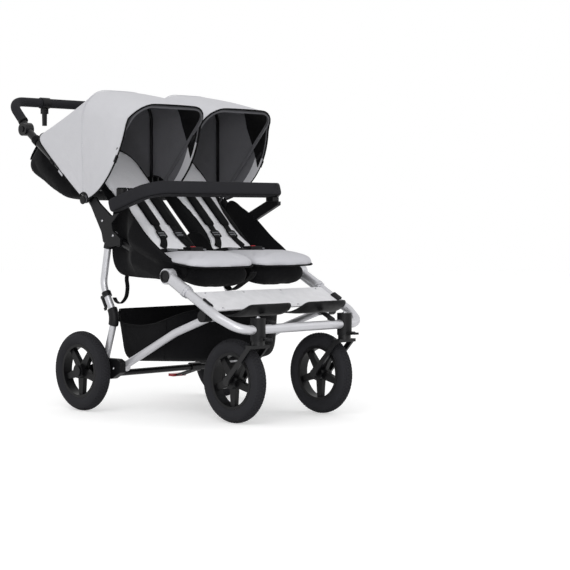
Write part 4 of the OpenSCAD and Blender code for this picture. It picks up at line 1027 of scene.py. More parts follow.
class PRAM_OT_seat_base(bpy.types.Operator):
    """Makes the black nose cushions, the divider and the side panels of the seats."""

    bl_idname = "pram.seat_base"
    bl_label = "Seat base"

    # Section of a nose cushion, from its front edge on, and its middle and half width.
    NOSE = ((-452, 411), (-472, 421), (-480, 440), (-474, 460), (-455, 469.4), (-330, 469.4), (-210, 469.4),
            (-208, 455), (-226, 434), (-290, 428), (-350, 428), (-410, 420))
    NOSE_X, NOSE_HALF, NOSE_TOP, NOSE_SQUARE = 125, 120, 469.6 * MM, 4
    # How far its underside sags and below which height, and how deep the section is at the two ends.
    NOSE_SAG, NOSE_LOW, NOSE_END = 5.0, 445, 0.55
    DIVIDER = ((-436, 421), (-464, 432), (-472, 448), (-450, 460), (-390, 464), (-335, 468), (-300, 496),
               (-256, 546), (-206, 569), (-164, 558), (-152, 530), (-162, 486), (-200, 460), (-270, 446),
               (-350, 430))
    PANEL = ((-405, 429), (-430, 438), (-438, 454), (-426, 468), (-388, 482), (-345, 512), (-285, 552),
             (-232, 594), (-164, 647), (-120, 671), (-94, 664), (-86, 620), (-83, 550), (-84, 495),
             (-98, 460), (-128, 439), (-190, 432), (-290, 429), (-360, 427))
    PANEL_X, PANEL_FLARE, SLEEVE_SWELL = 244.2, 20, 14.2
    # The rail inside the panel's sleeve: its front end and its rise.
    RAIL_Y, RAIL_Z, RAIL_RISE = -397, 438, 100 / 251
    # Where the sleeve starts and is full: at its rear and front ends (y), and away from the rail.
    SLEEVE_REAR, SLEEVE_FRONT, SLEEVE_ROUND = (-160, -210), (-404, -362), (96, 36)
    FLARE_ABOVE = (12, 56)
    FOLD_STRAP = ((0, -474, 446), (0, -462, 430), (0, -426, 411), (0, -394, 394), (0, -370, 388),
                  (0, -352, 400), (0, -346, 428))
    SEAT_STRAP = ((-236, -150, 452), (-240, -146, 425), (-242, -152, 396), (-243, -146, 366),
                  (-243, -120, 345), (-243, -98, 350), (-243, -88, 362))

    def execute(self, context):
        cloth, edge = finish("black_cloth"), finish("binding")
        for (side, sign), nodes in zip(SIDES, (("seat_sling",), ())):
            nose = settled(self.nose(side, sign, cloth), "main_frame", "fabric_black", *nodes)
        self.divider(cloth, edge)
        for side, sign in SIDES:
            self.panel(side, sign, cloth, edge)
        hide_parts("seat_sides")
        for name, line, width, thickness in (
                ("seat_strap", self.SEAT_STRAP, 16, 2.2), ("fold_strap", self.FOLD_STRAP, 30, 2.6)):
            band = strap(name, spots(spline(line, 40)), width * MM, thickness * MM, finish("webbing"), WIDE)
            settled(band, "main_frame", "fabric_black")
        return {"FINISHED"}

    def nose(self, side, sign, cloth):
        """A cushion under the front of a seat. Its underside sags and its top stays flat."""
        section = spline(self.NOSE, 56, True)
        mid = section.mean(axis=0)
        rings = []
        for t in np.sin(np.linspace(-1, 1, 25) * math.pi / 2):
            close = (1 - min(abs(t), 0.998) ** self.NOSE_SQUARE) ** (1 / self.NOSE_SQUARE)
            deep = self.NOSE_END + (1 - self.NOSE_END) * close
            ring = mid + (section - mid) * np.array((deep, close))
            ring[:, 1] -= np.where(section[:, 1] < self.NOSE_LOW, self.NOSE_SAG * (1 - t * t), 0)
            rings.append(np.column_stack([np.full(len(ring), self.NOSE_X + self.NOSE_HALF * t), ring]))
        nose = solid(f"seat_nose_{side}", spots(sided(rings, sign)), cloth)
        top = self.NOSE_TOP
        filled(nose, sizes().pad_swell * 0.8, 6, hold=lambda co: co[:, 2] > top - 3 * MM,
               floor=lambda co: np.column_stack([co[:, :2], np.minimum(co[:, 2], top)]))
        return smoothed(nose)

    def divider(self, cloth, edge):
        outline = spline(self.DIVIDER, 80, True)

        def lay(rows):
            return spots(np.column_stack([rows[:, 2], rows[:, :2]]))
        panel = pillow("seat_divider", outline, 4.6, 4.6, 2.4, lay, cloth)
        rim = tube("seat_divider_piping", lay(flat(outline)), 2.6 * MM, edge, closed=True)
        both = smoothed(settled(joined("seat_divider", [panel, rim]), "main_frame", "fabric_black"))

    def panel(self, side, sign, cloth, edge):
        outline = spline(self.PANEL, 120, True)

        def lay(rows):
            """Flat inside the joint plate, then a sleeve round the rail that flares out above it."""
            y, z, lift = rows.T
            above = z - self.RAIL_Z - (y - self.RAIL_Y) * self.RAIL_RISE
            sleeve = ramp(y, *self.SLEEVE_REAR) * ramp(y, *self.SLEEVE_FRONT)
            flare = self.PANEL_FLARE * sleeve * ramp(above, *self.FLARE_ABOVE)
            round_rail = ramp(np.abs(above), *self.SLEEVE_ROUND)
            swell = np.where(lift > 0, 1 + self.SLEEVE_SWELL * sleeve * round_rail, 1)
            return spots(sided(np.column_stack([self.PANEL_X + flare + lift * swell, y, z]), sign))
        panel = pillow(f"side_panel_{side}", outline, 2.3, 2.3, 2.6, lay, cloth, rings=14)
        rim = tube("panel_piping", lay(flat(outline)), 2.0 * MM, edge, closed=True)
        both = smoothed(settled(joined(f"side_panel_{side}", [panel, rim]), "main_frame", "fabric_black"))


class PRAM_OT_seat_pads(bpy.types.Operator):
    """Makes the two pale seat pads with their piping."""

    bl_idname = "pram.seat_pads"
    bl_label = "Seat pads"

    OUTLINE = ((6, -252), (4.5, -340), (4.5, -450), (13, -482), (44, -495), (115, -499), (186, -498),
               (238, -490), (260, -472), (264, -430), (256, -370), (245, -310), (238, -258), (200, -247),
               (120, -246), (40, -246))
    RISE, DROP, LEAST_FALL, COUNT = 30, 10, 0.15, 140
    # Points this near to the seam stay where they are as the pad is filled.
    SEAM_REACH = 5 * MM
    # Height of the rim from the front to the rear, and of the pad's top and base.
    RIM_Y, RIM_Z = (-500, -480, -400, -247), (464, 467, 478, 488)
    TOP, BASE = 510, 470.3
    # Limits on the filled pad, in metres: its top, and its base where it lies on the seat.
    MOST_TOP, LEAST_BASE, SEAT_FRONT = 0.5125, 0.4702, -0.465

    def execute(self, context):
        for side, sign in SIDES:
            self.pad(side, sign)
        return {"FINISHED"}

    def pad(self, side, sign):
        outline = spline(self.OUTLINE, self.COUNT, True)

        def lay(rows):
            x, y, lift = rows.T
            rim = np.interp(y, self.RIM_Y, self.RIM_Z)
            fall = np.maximum((rim - self.BASE) / self.DROP, self.LEAST_FALL)
            share = np.where(lift > 0, (self.TOP - rim) / self.RISE, np.where(lift < 0, fall, 0))
            return spots(sided(np.column_stack([x, y, rim + lift * share]), sign))

        def near_seam(co):
            return np.array([np.min(np.sum((seam - c) ** 2, axis=1)) < self.SEAM_REACH ** 2 for c in co])

        def limits(co):
            top = np.minimum(co[:, 2], self.MOST_TOP)
            on_seat = co[:, 1] > AXLE_Y + self.SEAT_FRONT
            return np.column_stack([co[:, :2], np.where(on_seat, np.maximum(top, self.LEAST_BASE), top)])
        seam = lay(flat(outline))
        cover = finish("pad_cloth")
        pad = pillow(f"seat_pad_{side}", outline, self.RISE, self.DROP, 3.0, lay, cover, rings=14)
        filled(pad, sizes().pad_swell, hold=near_seam, floor=limits)
        settled(smoothed(pad), "main_frame", "fabric_grey", f"seat_pad_{side}")
        piping = tube(f"pad_piping_{side}", lay(flat(outline, -1.0)), sizes().piping * 1.25,
                      finish("binding"), closed=True)
        settled(piping, "main_frame", "fabric_black")


# The seat back: its slope in degrees and the place (y, z) of its hinge.
BACK_TILT, BACK_HINGE = math.radians(43.6), (-235, 490)


def on_back(points, sign, lift=0.0):
    """Places (x, distance up the seat back, height above it) in the frame."""
    x, along, up = np.asarray(points, float).T
    up = up + lift
    y = BACK_HINGE[0] + along * math.cos(BACK_TILT) - up * math.sin(BACK_TILT)
    z = BACK_HINGE[1] + along * math.sin(BACK_TILT) + up * math.cos(BACK_TILT)
    return spots(np.column_stack([x * sign, y, z]))


class PRAM_OT_seat_backs(bpy.types.Operator):
    """Makes the padded black seat backs with their grey liners."""

    bl_idname = "pram.seat_backs"
    bl_label = "Seat backs"

    # A seat back's corners and corner radii. The liner's half width at each distance up the back.
    LOW, HIGH, RADII = (6.8, -6), (240.2, 505), (10, 10, 78, 84)
    LINER_X, LINER_END = 129, 502
    LINER = ((4, 84), (60, 76), (120, 72), (180, 76), (240, 88), (310, 100), (390, 102), (446, 94),
             (482, 68), (498, 34))
    # Heights above the back of the three layers.
    BACK_LIFT, LINER_LIFT, PIPING_LIFT = 2, 21, 20.5

    def execute(self, context):
        for side, sign in SIDES:
            self.back(side, sign, f"recliner_{side}")
        return {"FINISHED"}

    def back(self, side, sign, body):
        outline = round_rect(self.LOW, self.HIGH, self.RADII, 130)
        back = pillow(f"seat_back_{side}", outline, 17, 7, 5.0, lambda r: on_back(r, sign, self.BACK_LIFT),
                      finish("black_cloth"), rings=14)
        filled(back, sizes().pad_swell * 0.8, 6)
        settled(smoothed(back), body, "fabric_black", f"seat_back_{side}")
        line = [(self.LINER_X - w, s) for s, w in self.LINER] + [(self.LINER_X, self.LINER_END)]
        line += [(self.LINER_X + w, s) for s, w in self.LINER[::-1]]
        shape = spline(line, 120, True)
        liner = pillow(f"back_liner_{side}", shape, 11, 5, 2.6, lambda r: on_back(r, sign, self.LINER_LIFT),
                       finish("liner_cloth"))
        filled(liner, sizes().pad_swell * 0.6)
        settled(smoothed(liner), body, "fabric_grey")
        edge = tube(f"liner_piping_{side}", on_back(flat(shape), sign, self.PIPING_LIFT), sizes().piping,
                    finish("binding"), closed=True)
        settled(edge, body, "fabric_black")


class PRAM_OT_harness(bpy.types.Operator):
    """Makes the shoulder pads, webbing, adjusters and waist straps."""

    bl_idname = "pram.harness"
    bl_label = "Harness"

    # Middle of the shoulder straps and of the waist straps, and half the distance between the shoulders.
    SHOULDER_X, SHOULDER_HALF, WAIST_X = 116, 34, 129
    # A shoulder strap: outward shift, distance up the back and height above it.
    SHOULDER = ((0, 296, 24), (0, 288, 32), (0, 274, 37), (0, 220, 38), (0, 120, 38), (0, 84, 37),
                (3, 52, 35), (12, 30, 33), (24, 14, 30))
    COVER_HALF, COVER_LOW, COVER_HIGH, COVER_LIFT = 19, 104, 276, 39
    # An adjuster: its place, its half width and height, its two bars and their ends.
    SLIDE_UP, SLIDE_LIFT, SLIDE_OUT, SLIDE_CORNERS = 66, 38.5, 2, (4, 4, 4, 4)
    SLIDE_W, SLIDE_H, SLIDE_BARS = 15, 13, (-5, 5)
    BAR_W, BAR_END_UP, BAR_MID_UP = 14, 0.3, 1.3
    SLIDE_WIRE, BAR_WIRE, WAIST_WIRE = 2.8 * MM, 2.2 * MM, 2.4 * MM
    WAIST = ((104, -250, 503), (84, -268, 509.5), (56, -306, 513.5), (34, -330, 515.5), (20, -336, 516))
    WAIST_SLIDE, WAIST_TURN, WAIST_SLIDE_W, WAIST_SLIDE_H = (58, -304, 515.5), 38, 14, 16
    # The width of a waist strap lies along this way (outwards, back).
    WAIST_ACROSS = (0.5, 0.86)
    CROTCH = ((129, -352, 515), (129, -378, 512), (129, -398, 509), (129, -408, 504))

    def execute(self, context):
        for side, sign in SIDES:
            self.shoulders(side, sign)
            self.waist(side, sign)
        return {"FINISHED"}

    def webbing(self, line, across):
        return strap("webbing", line, sizes().webbing, 2 * MM, finish("webbing"), across)

    def shoulders(self, side, sign):
        body, parts, pads = f"recliner_{side}", [], []
        for k in (-1, 1):
            x = self.SHOULDER_X + self.SHOULDER_HALF * k
            line = spline([(x + out * k, up, lift) for out, up, lift in self.SHOULDER], 60)
            parts.append(self.webbing(on_back(line, sign), WIDE))
            low, high = (x - self.COVER_HALF, self.COVER_LOW), (x + self.COVER_HALF, self.COVER_HIGH)
            outline = round_rect(low, high, (9, 9, 9, 9), 64)
            pads.append(pillow("shoulder", outline, 6, 4, 3.2, lambda r: on_back(r, sign, self.COVER_LIFT),
                               finish("black_cloth"), rings=8))
            parts.append(self.adjuster(x + self.SLIDE_OUT * k, self.SLIDE_UP, sign))
        settled(joined(f"harness_straps_{side}", parts), body, "fabric_black", f"harness_{side}")
        covers = smoothed(joined(f"shoulder_pads_{side}", pads))
        settled(covers, body, "fabric_black")

    def adjuster(self, x, s, sign):
        """A ladder slide: a frame with two bars across it."""
        w, h = self.SLIDE_W, self.SLIDE_H
        outline = round_rect((x - w, s - h), (x + w, s + h), self.SLIDE_CORNERS, 40)
        ring = tube("slide", on_back(flat(outline), sign, self.SLIDE_LIFT), self.SLIDE_WIRE,
                    finish("black_plastic"), closed=True)
        bars = []
        for up in self.SLIDE_BARS:
            line = [(x - self.BAR_W, s + up, self.BAR_END_UP), (x, s + up, self.BAR_MID_UP),
                    (x + self.BAR_W, s + up, self.BAR_END_UP)]
            bars.append(tube("slide_bar", on_back(line, sign, self.SLIDE_LIFT), self.BAR_WIRE,
                             finish("grey_plastic")))
        return joined("slide", [ring, *bars])

    def waist(self, side, sign):
        """Waist and crotch straps, which lie on the pad and end in the buckle."""
        parts = []
        out, y, z = self.WAIST_SLIDE
        w, h = self.WAIST_SLIDE_W, self.WAIST_SLIDE_H
        wide, back = self.WAIST_ACROSS
        for k in (-1, 1):
            line = spline([(self.WAIST_X + x * k, *place) for x, *place in self.WAIST], 30)
            parts.append(self.webbing(spots(sided(line, sign)), (wide * k * sign, back, 0)))
            turn = math.radians(self.WAIST_TURN * k)
            ring = [(self.WAIST_X + out * k + u * math.cos(turn) - v * math.sin(turn),
                     y + u * math.sin(turn) + v * math.cos(turn), z)
                    for u, v in round_rect((-w, -h), (w, h), self.SLIDE_CORNERS, 40)]
            ring = spots(sided(ring, sign))
            parts.append(tube("slide", ring, self.WAIST_WIRE, finish("grey_plastic"), closed=True))
        parts.append(self.webbing(spots(sided(spline(self.CROTCH, 24), sign)), WIDE))
        settled(joined(f"waist_straps_{side}", parts), "main_frame", "fabric_black")


class PRAM_OT_canopies(bpy.types.Operator):
    """Makes the two canopies, each one curved sheet over its bows, with lining, bindings, seam and tag."""

    bl_idname = "pram.canopies"
    bl_label = "Canopies"

    # The pivot (y, z) of the bows, and the tops of the rear hem and the two bows seen from it.
    PIVOT = (0.0, 672.0)
    REAR, MID, FRONT = (269.0, 225.0), (0.0, 349.9), (-273.4, 291.9)
    # Rows of the sheet from the rear hem to the middle bow and on to the front bow, and points in a row.
    REAR_ROWS, FRONT_ROWS, COUNT = 14, 13, 57
    CORNER, MID_CORNER = 66.0, 90.0
    IN_X, OUT_X, MID_X = 1.3, 296.9, 149.0
    # Lowest points of an arch above the pivot: at its outer foot, a little above it, and at its inner foot.
    OUT_FOOT, OUT_STEP, IN_FOOT = 24, 90, 82
    # How far the front bow's foot turns back in degrees, how far the outer side swells, and the crown.
    FRONT_TWIST, SIDE_SWELL, FRONT_SWELL, CROWN = 40, 4, 13, 4
    # The outer side starts at this x, and its swell ends this far short of the arch's reach.
    SIDE_X, SWELL_SHORT = 200, 40
    # Ends (y, z), in metres, of a blend between the rear hem and the front bow, which the script does not
    # make.
    HEM_AT, BOW_AT = (0.408, 0.897), (-0.134, 0.964)
    # Strips turned in on the lining: first and last point in the rows, and the way inwards.
    STRIPS, STRIP_IN, CLIP_HALF = ((44, 56, 1), (3, 14, -1)), 2.6 * MM, 13 * MM
    # The tags on the front and rear hems: point in the row, distance off the hem, half length and width.
    TAG_POINT, TAG_IN, TAG_HALF, TAG_WIDTH = 12, 2 * MM, 12 * MM, 14 * MM
    TAB_POINT, TAB_OUT, TAB_HALF, TAB_WIDTH = 8, 3 * MM, 13 * MM, 13 * MM
    # How far the stitches stand off the cloth, as a share of the distance from its middle.
    STITCH_PROUD = 0.004
    # The visor: its first and last point, its middle, its depth in rows and its distance from the lining.
    VISOR_POINTS, VISOR_MID, VISOR_LEAST, VISOR_MOST, VISOR_IN = (11, 48), 29, 0.25, 5.4, 6 * MM
    # Section of the pivot's cap: distance outwards and radius.
    CAP_X = 299.4
    CAP = ((-2, 13), (0.5, 13.4), (1.8, 12.8), (2.6, 11), (2.2, 8), (2.7, 4), (2.8, 1))

    def execute(self, context):
        for side, sign in SIDES:
            grid = self.rows(sign)
            cloth = shell(f"canopy_{side}", grid, finish("canopy_cloth"), finish("canopy_lining"),
                          finish("binding"))
            face_out(cloth, (self.MID_X * MM * sign, AXLE_Y - 0.02, 0.84))
            smoothed(walled(cloth, sizes().cloth_wall, 1, 2))
            self.bent(cloth, side, sign, "fabric_grey")
            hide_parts(f"canopy_cloth_{side}")
            trim = self.trim(side, sign, grid)
            self.cap(side, sign)
        return {"FINISHED"}

    def arch(self, reach, r):
        """The arch of one row, from its outer foot to its inner foot: (x, distance from the pivot)."""
        line = [(self.OUT_X, self.OUT_FOOT), (self.OUT_X, self.OUT_STEP), (self.OUT_X, reach - r)]
        line += [(self.OUT_X - r * (1 - math.cos(a)), reach - r * (1 - math.sin(a)))
                 for a in np.linspace(0.1, math.pi / 2, 9)]
        line += [(self.IN_X + r * (1 + math.cos(a)), reach - r * (1 - math.sin(a)))
                 for a in np.linspace(math.pi / 2, math.pi, 10)]
        return even(line + [(self.IN_X, self.IN_FOOT)], self.COUNT)

    def tops(self):
        """The top of each row and its share of the way from the middle bow to the front bow."""
        bulge = sizes().canopy_bulge / MM
        tops = []
        for start, end, count, swell in ((self.REAR, self.MID, self.REAR_ROWS, -bulge * 0.2),
                                         (self.MID, self.FRONT, self.FRONT_ROWS, bulge * 0.35)):
            a, b = np.array(start), np.array(end)
            across = unit((b[1] - a[1], a[0] - b[0]))
            last = end is self.FRONT
            for t in np.arange(count + last) / count:
                tops.append((a + (b - a) * t + across * swell * math.sin(math.pi * t), t if last else 0))
        return tops

    def rows(self, sign):
        """The whole sheet, from its rear hem to its front bow."""
        grid = []
        bows = (0, self.REAR_ROWS, self.REAR_ROWS + self.FRONT_ROWS)
        for k, (top, ahead) in enumerate(self.tops()):
            reach, lean = math.hypot(*top), math.atan2(-top[0], top[1])
            corner = np.interp(k, bows, (self.CORNER, self.MID_CORNER, self.CORNER))
            twist = math.radians(self.FRONT_TWIST * ahead)
            row = []
            for x, r in self.arch(reach, corner):
                a = lean + twist * max(0, 1 - r / (reach - corner))
                up = math.sin(math.pi * ramp(r, self.OUT_FOOT, self.OUT_FOOT + reach - self.SWELL_SHORT))
                if x > self.SIDE_X:
                    x += (self.SIDE_SWELL + self.FRONT_SWELL * ahead) * up
                if r > reach - corner:
                    r += self.CROWN * max(0, 1 - ((x - self.MID_X) / (self.MID_X - 1)) ** 2)
                y, z = self.PIVOT
                row.append((x * sign, y - r * math.sin(a), z + r * math.cos(a)))
            grid.append(row)
        return spots(grid)

    def bent(self, obj, side, sign, slot):
        """Bakes the piece's place into its mesh."""
        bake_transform(obj)
        return obj

    def trim(self, side, sign, grid):
        """Black bindings, the seam over the middle bow, the turned strips, their clips and the tags."""
        edge, grey = finish("binding"), finish("canopy_cloth")
        r, mid = sizes().piping, self.REAR_ROWS
        parts = [tube("front_binding", grid[-1], r * 1.1, edge), tube("rear_binding", grid[0], r * 0.9, edge),
                 tube("foot_binding", grid[:, 0], r, edge), tube("inner_binding", grid[:, -1], r, edge),
                 tube("bow_seam", grid[mid][2:-2], 0.9 * MM, grey, sides=8)]
        for first, last, way in self.STRIPS:
            inward = np.array((self.STRIP_IN * sign * way, 0, 0))
            strip = shell("turned_strip", grid[-3:, first:last] + inward, grey)
            parts.append(face_out(strip, grid[-2, (first + last) // 2] - inward * 100))
            clip = grid[-2, first if way > 0 else last - 1] + inward * 2
            half = unit(grid[-2, first] - grid[-2, last - 1]) * self.CLIP_HALF
            parts.append(tube("clip", [clip - half, clip, clip + half], 5 * MM, finish("black_plastic")))
        j = self.TAG_POINT
        down, ahead = unit(grid[-1, j - 1] - grid[-1, j + 1]), unit(grid[-1, j] - grid[-2, j])
        tag = [grid[-1, j] + down * s * self.TAG_HALF - ahead * self.TAG_IN for s in (-1, 0, 1)]
        parts.append(strap("tag", tag, self.TAG_WIDTH, 2.4 * MM, finish("webbing"), ahead))
        j = self.TAB_POINT
        rise, back = unit(grid[0, j + 1] - grid[0, j - 1]), unit(grid[0, j] - grid[1, j])
        tab = [grid[0, j] + rise * s * self.TAB_HALF + back * self.TAB_OUT for s in (-1, 0, 1)]
        parts.append(strap("hem_tab", tab, self.TAB_WIDTH, 1.6 * MM, finish("pad_cloth"), back))
        parts.append(self.visor(grid))
        middle = grid.mean(axis=(0, 1))
        threads = [grid[a] * share + grid[b] * (1 - share)
                   for a, b, share in ((-1, -2, 0.6), (mid, mid - 1, 0.75), (mid, mid + 1, 0.75))]
        threads = [line + (line - middle) * self.STITCH_PROUD for line in threads]
        parts.append(stitches("hem_stitches", threads, finish("grey_thread")))
        return self.bent(joined(f"canopy_trim_{side}", parts), side, sign, "fabric_black")

    def visor(self, grid):
        """The black panel folded away inside the front edge, deepest in its two corners."""
        focus = grid.mean(axis=(0, 1))
        last = len(grid) - 1
        rows = []
        for j in range(*self.VISOR_POINTS):
            off = min(1, abs(j - self.VISOR_MID) / (self.VISOR_MID - self.VISOR_POINTS[0]))
            deep = self.VISOR_LEAST + self.VISOR_MOST * math.sin(math.pi * off) ** 0.9
            back = np.linspace(last - 0.1, last - deep, 7)
            line = np.stack([np.interp(back, np.arange(last + 1), grid[:, j, k]) for k in range(3)], axis=1)
            inwards = (focus - line) / np.linalg.norm(focus - line, axis=1)[:, None]
            rows.append(line + inwards * self.VISOR_IN)
        panel = shell("visor", rows, finish("binding"))
        return face_out(panel, focus * 2 - grid[20:, 20:40].mean(axis=(0, 1)))

    def cap(self, side, sign):
        """The round cover over the canopy's pivot."""
        centre = spots([(self.CAP_X * sign, *self.PIVOT)])[0]
        section = [(out * MM, radius * MM) for out, radius in self.CAP]
        cap = lathe(f"canopy_pivot_cap_{side}", section, centre, (sign, 0, 0), finish("black_plastic"))
        settled(cap, "main_frame", "plastic_black")


class PRAM_OT_basket(bpy.types.Operator):
    """Makes the sagging basket with its bound rim, seams and stitches."""

    bl_idname = "pram.basket"
    bl_label = "Basket"

    COUNT = 120
    # Height of the rim along the side, which dips behind its middle.
    RIM = ((-450, 345), (-420, 336), (-380, 324), (-336, 308), (-300, 295), (-270, 286), (-225, 278),
           (-184, 275), (-140, 276), (-105, 280), (-88, 288), (-79, 304), (-74, 325))
    # Rings from the rim down: share of the depth and of the turn into the floor. Then shares of the floor.
    LEVELS = ((0, 0), (0.03, 0), (0.2, 0), (0.4, 0), (0.6, 0), (0.76, 0.02), (0.88, 0.12), (0.95, 0.28),
              (0.985, 0.5), (1.0, 0.75))
    FLOOR = (0.8, 0.55, 0.3, 0.08)
    HALF, FRONT, REAR = 223.6, -449, -74.5
    FRONT_IN, REAR_IN, TURN_IN = 12, 29, 34
    FRONT_CORNER, REAR_CORNER = 158, 14
    FLOOR_Y, FLOOR_Z = (-438, -102), (178, 160)
    SEAM_Y, SIDE_PULL = -0.315, 0.018
    # The floor's sag starts at this share of the depth and ends at this x. The walls sag by a share of it.
    SAG_FROM, SAG_HALF, WALL_SAG = 0.95, 224, 0.3
    # The cloth before it was sewn, and a height above the wheels with a share for flattening the basket as
    # the frame folds, which the script does not do.
    FLAT = (0.79, 0.72)
    FOLDED_Z, FOLDED_SHARE = 0.335, 0.12

    def execute(self, context):
        grid = spots(self.rings())
        fabric = finish("black_cloth")
        cloth = shell("basket", grid, fabric, fabric, finish("binding"), wrap=True)
        work = bmesh.new()
        work.from_mesh(cloth.data)
        work.verts.ensure_lookup_table()
        last = (len(grid) - 1) * self.COUNT
        work.faces.new([work.verts[last + j] for j in range(self.COUNT)][::-1])
        bmesh.ops.triangulate(work, faces=[f for f in work.faces if len(f.verts) > 4])
        bmesh.ops.recalc_face_normals(work, faces=work.faces)
        work.to_mesh(cloth.data)
        work.free()
        face_out(cloth, spots([(0, -270, 250)])[0])
        cloth.data.shade_smooth()
        smoothed(walled(cloth, 2.4 * MM, 1, 2))
        settled(cloth, "link_frame", "fabric_black", "basket")
        trim = self.trim(grid)
        for obj in (cloth, trim):
            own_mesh(obj)
        return {"FINISHED"}

    def rings(self):
        """Rings of the basket from its rim down and over its floor to the middle."""
        rows = []
        for down, turn in self.LEVELS:
            inset = turn * self.TURN_IN
            half = self.HALF - inset
            front, rear = self.FRONT + self.FRONT_IN * down + inset, self.REAR - self.REAR_IN * down - inset
            ahead, behind = self.FRONT_CORNER - inset * 0.3, self.REAR_CORNER + inset * 0.8
            ring = round_rect((-half, front), (half, rear), (ahead, ahead, behind, behind), self.COUNT)
            rows.append(self.level(ring, down))
        last = rows[-1][:, :2]
        mid = np.array((0, last[:, 1].mean()))
        return rows + [self.level(mid + (last - mid) * share, 1.0) for share in self.FLOOR]

    def level(self, ring, down):
        """One ring at its height between the rim and the floor, which sags in the middle."""
        x, y = ring.T
        rim = np.interp(y, *zip(*self.RIM))
        sag = sizes().basket_sag / MM * (1 if down >= self.SAG_FROM else down * self.WALL_SAG)
        floor = np.interp(y, self.FLOOR_Y, self.FLOOR_Z) - sag * (1 - (x / self.SAG_HALF) ** 2)
        ends = 1 - np.sin(np.pi * ramp(y, self.FRONT, self.RIM[-1][0]))
        pull = self.SIDE_PULL * math.sin(math.pi * down) * ends
        return np.column_stack([x * (1 - pull), y, rim + (floor - rim) * down])

    def trim(self, grid):
        """The binding of the rim, the side seams and the stitches, each a little outside the cloth."""
        edge, rim, proud = finish("binding"), grid[0], 1.004
        parts = [tube("rim_binding", rim, 3.2 * MM, edge, closed=True)]
        for x in (-self.HALF * MM, self.HALF * MM):
            place = np.array((x, AXLE_Y + self.SEAM_Y))
            nearest = int(np.argmin(np.linalg.norm(rim[:, :2] - place, axis=1)))
            line = grid[:9, nearest] * np.array((proud, 1, 1))
            parts.append(tube("side_seam", line, 1.1 * MM, edge, sides=8))
        hem = rim * 0.9 + grid[2] * 0.1
        middle = rim.mean(axis=0)[:2]
        hem[:, :2] = middle + (hem[:, :2] - middle) * proud
        parts.append(stitches("rim_stitches", [hem], finish("black_thread"), closed=True))
        return settled(joined("basket_trim", parts), "link_frame", "fabric_black")


class PRAM_OT_bag(bpy.types.Operator):
    """Makes the organiser bag behind the seats, with its flap, zip, tag and straps."""

    bl_idname = "pram.bag"
    bl_label = "Organiser bag"

    SECTION = ((92, 704), (94, 735), (160, 782), (240, 836), (303, 877), (330, 864), (362, 832), (380, 808),
               (373, 778), (310, 742), (230, 702), (166, 680), (120, 684))
    HALF, SAG, SQUARE, END_SHARE = 247.6, 7, 9, 0.35
    # The way that the bag sags (y, z), and the way and distances over which its lower side begins.
    SAG_WAY, LOW_WAY, LOW_RANGE = np.array((0.5, -0.86)), np.array((0.83, -0.55)), (-300, -180)
    FLAP, FLAP_HALF = ((250, 846), (304, 880.5), (334, 865), (364, 835), (377, 815)), 226
    FLAP_LIFT, FLAP_DROOP, FLAP_COUNT = 1.5, 4, 25
    ZIP_HALF, ZIP_AT = 205, (382.5, 796)
    ZIP_TAG = ((-205, 385, 797), (-209, 388, 788), (-208, 386, 774))
    # The straps go round the back tubes, which rise by this slope, at these places (y, z).
    TUBE_X, LOOP_R, TUBE_SLOPE = 262, 15, math.atan2(243, 354)
    LOOPS = ((190, 801.7), (290, 870.5))

    def execute(self, context):
        cloth, edge = finish("black_cloth"), finish("binding")
        self.bag(cloth)
        share = np.linspace(-1, 1, self.FLAP_COUNT)
        droop = self.FLAP_LIFT - self.FLAP_DROOP * np.abs(share) ** 6
        rows = [np.column_stack([share * self.FLAP_HALF, np.full(self.FLAP_COUNT, y), z + droop])
                for y, z in spline(self.FLAP, 18)]
        flap = shell("bag_flap", spots(rows), cloth)
        face_out(flap, spots([(0, 260, 770)])[0])
        settled(walled(flap, 1.8 * MM), "main_frame", "fabric_black")
        hem = np.vstack([r[:1] for r in rows] + [rows[-1]] + [r[-1:] for r in rows[::-1]])
        zip_line = spots([(x, *self.ZIP_AT) for x in np.linspace(-self.ZIP_HALF, self.ZIP_HALF, 30)])
        parts = [
            tube("flap_binding", spots(hem), 1.8 * MM, edge),
            strap("zip_tape", zip_line, 16 * MM, 1.6 * MM, finish("webbing"), (0, 0.3, 1)),
            tube("zip_teeth", zip_line + np.array((0, 1.2 * MM, 0)), 1.6 * MM, finish("grey_plastic")),
            strap("zip_tag", spots(spline(self.ZIP_TAG, 10)), 9 * MM, 2.4 * MM, finish("red_plastic"), WIDE)]
        for _, sign in SIDES:
            parts += [self.loop(sign, *place) for place in self.LOOPS]
        settled(joined("bag_trim", parts), "main_frame", "fabric_black")
        return {"FINISHED"}

    def bag(self, cloth):
        """The body, lofted from end to end, with its lower side sagging."""
        section = spline(self.SECTION, 72, True)
        mid = section.mean(axis=0)
        low = ramp(section @ self.LOW_WAY, *self.LOW_RANGE)
        rings = []
        for t in np.sin(np.linspace(-1, 1, 33) * math.pi / 2):
            close = (1 - min(abs(t), 0.999) ** self.SQUARE) ** (1 / self.SQUARE)
            ring = mid + (section - mid) * (self.END_SHARE + (1 - self.END_SHARE) * close)
            ring = ring + self.SAG_WAY * (self.SAG * (1 - t * t) * low)[:, None]
            rings.append(np.column_stack([np.full(len(ring), self.HALF * t), ring]))
        bag = solid("organiser_bag", spots(rings), cloth)
        filled(bag, sizes().pad_swell, 7)
        settled(smoothed(bag), "main_frame", "fabric_black", "organiser_bag")

    def loop(self, sign, y, z):
        """A strap round a back tube."""
        cos, sin = math.cos(self.TUBE_SLOPE), math.sin(self.TUBE_SLOPE)
        circle = superellipse(self.LOOP_R, self.LOOP_R, 2, 28)
        ring = [(self.TUBE_X + out, y - up * sin, z + up * cos) for out, up in circle]
        line = spots(sided(ring + ring[:1], sign))
        return strap("bag_strap", line, 24 * MM, 2 * MM, finish("webbing"), (0, cos, sin))


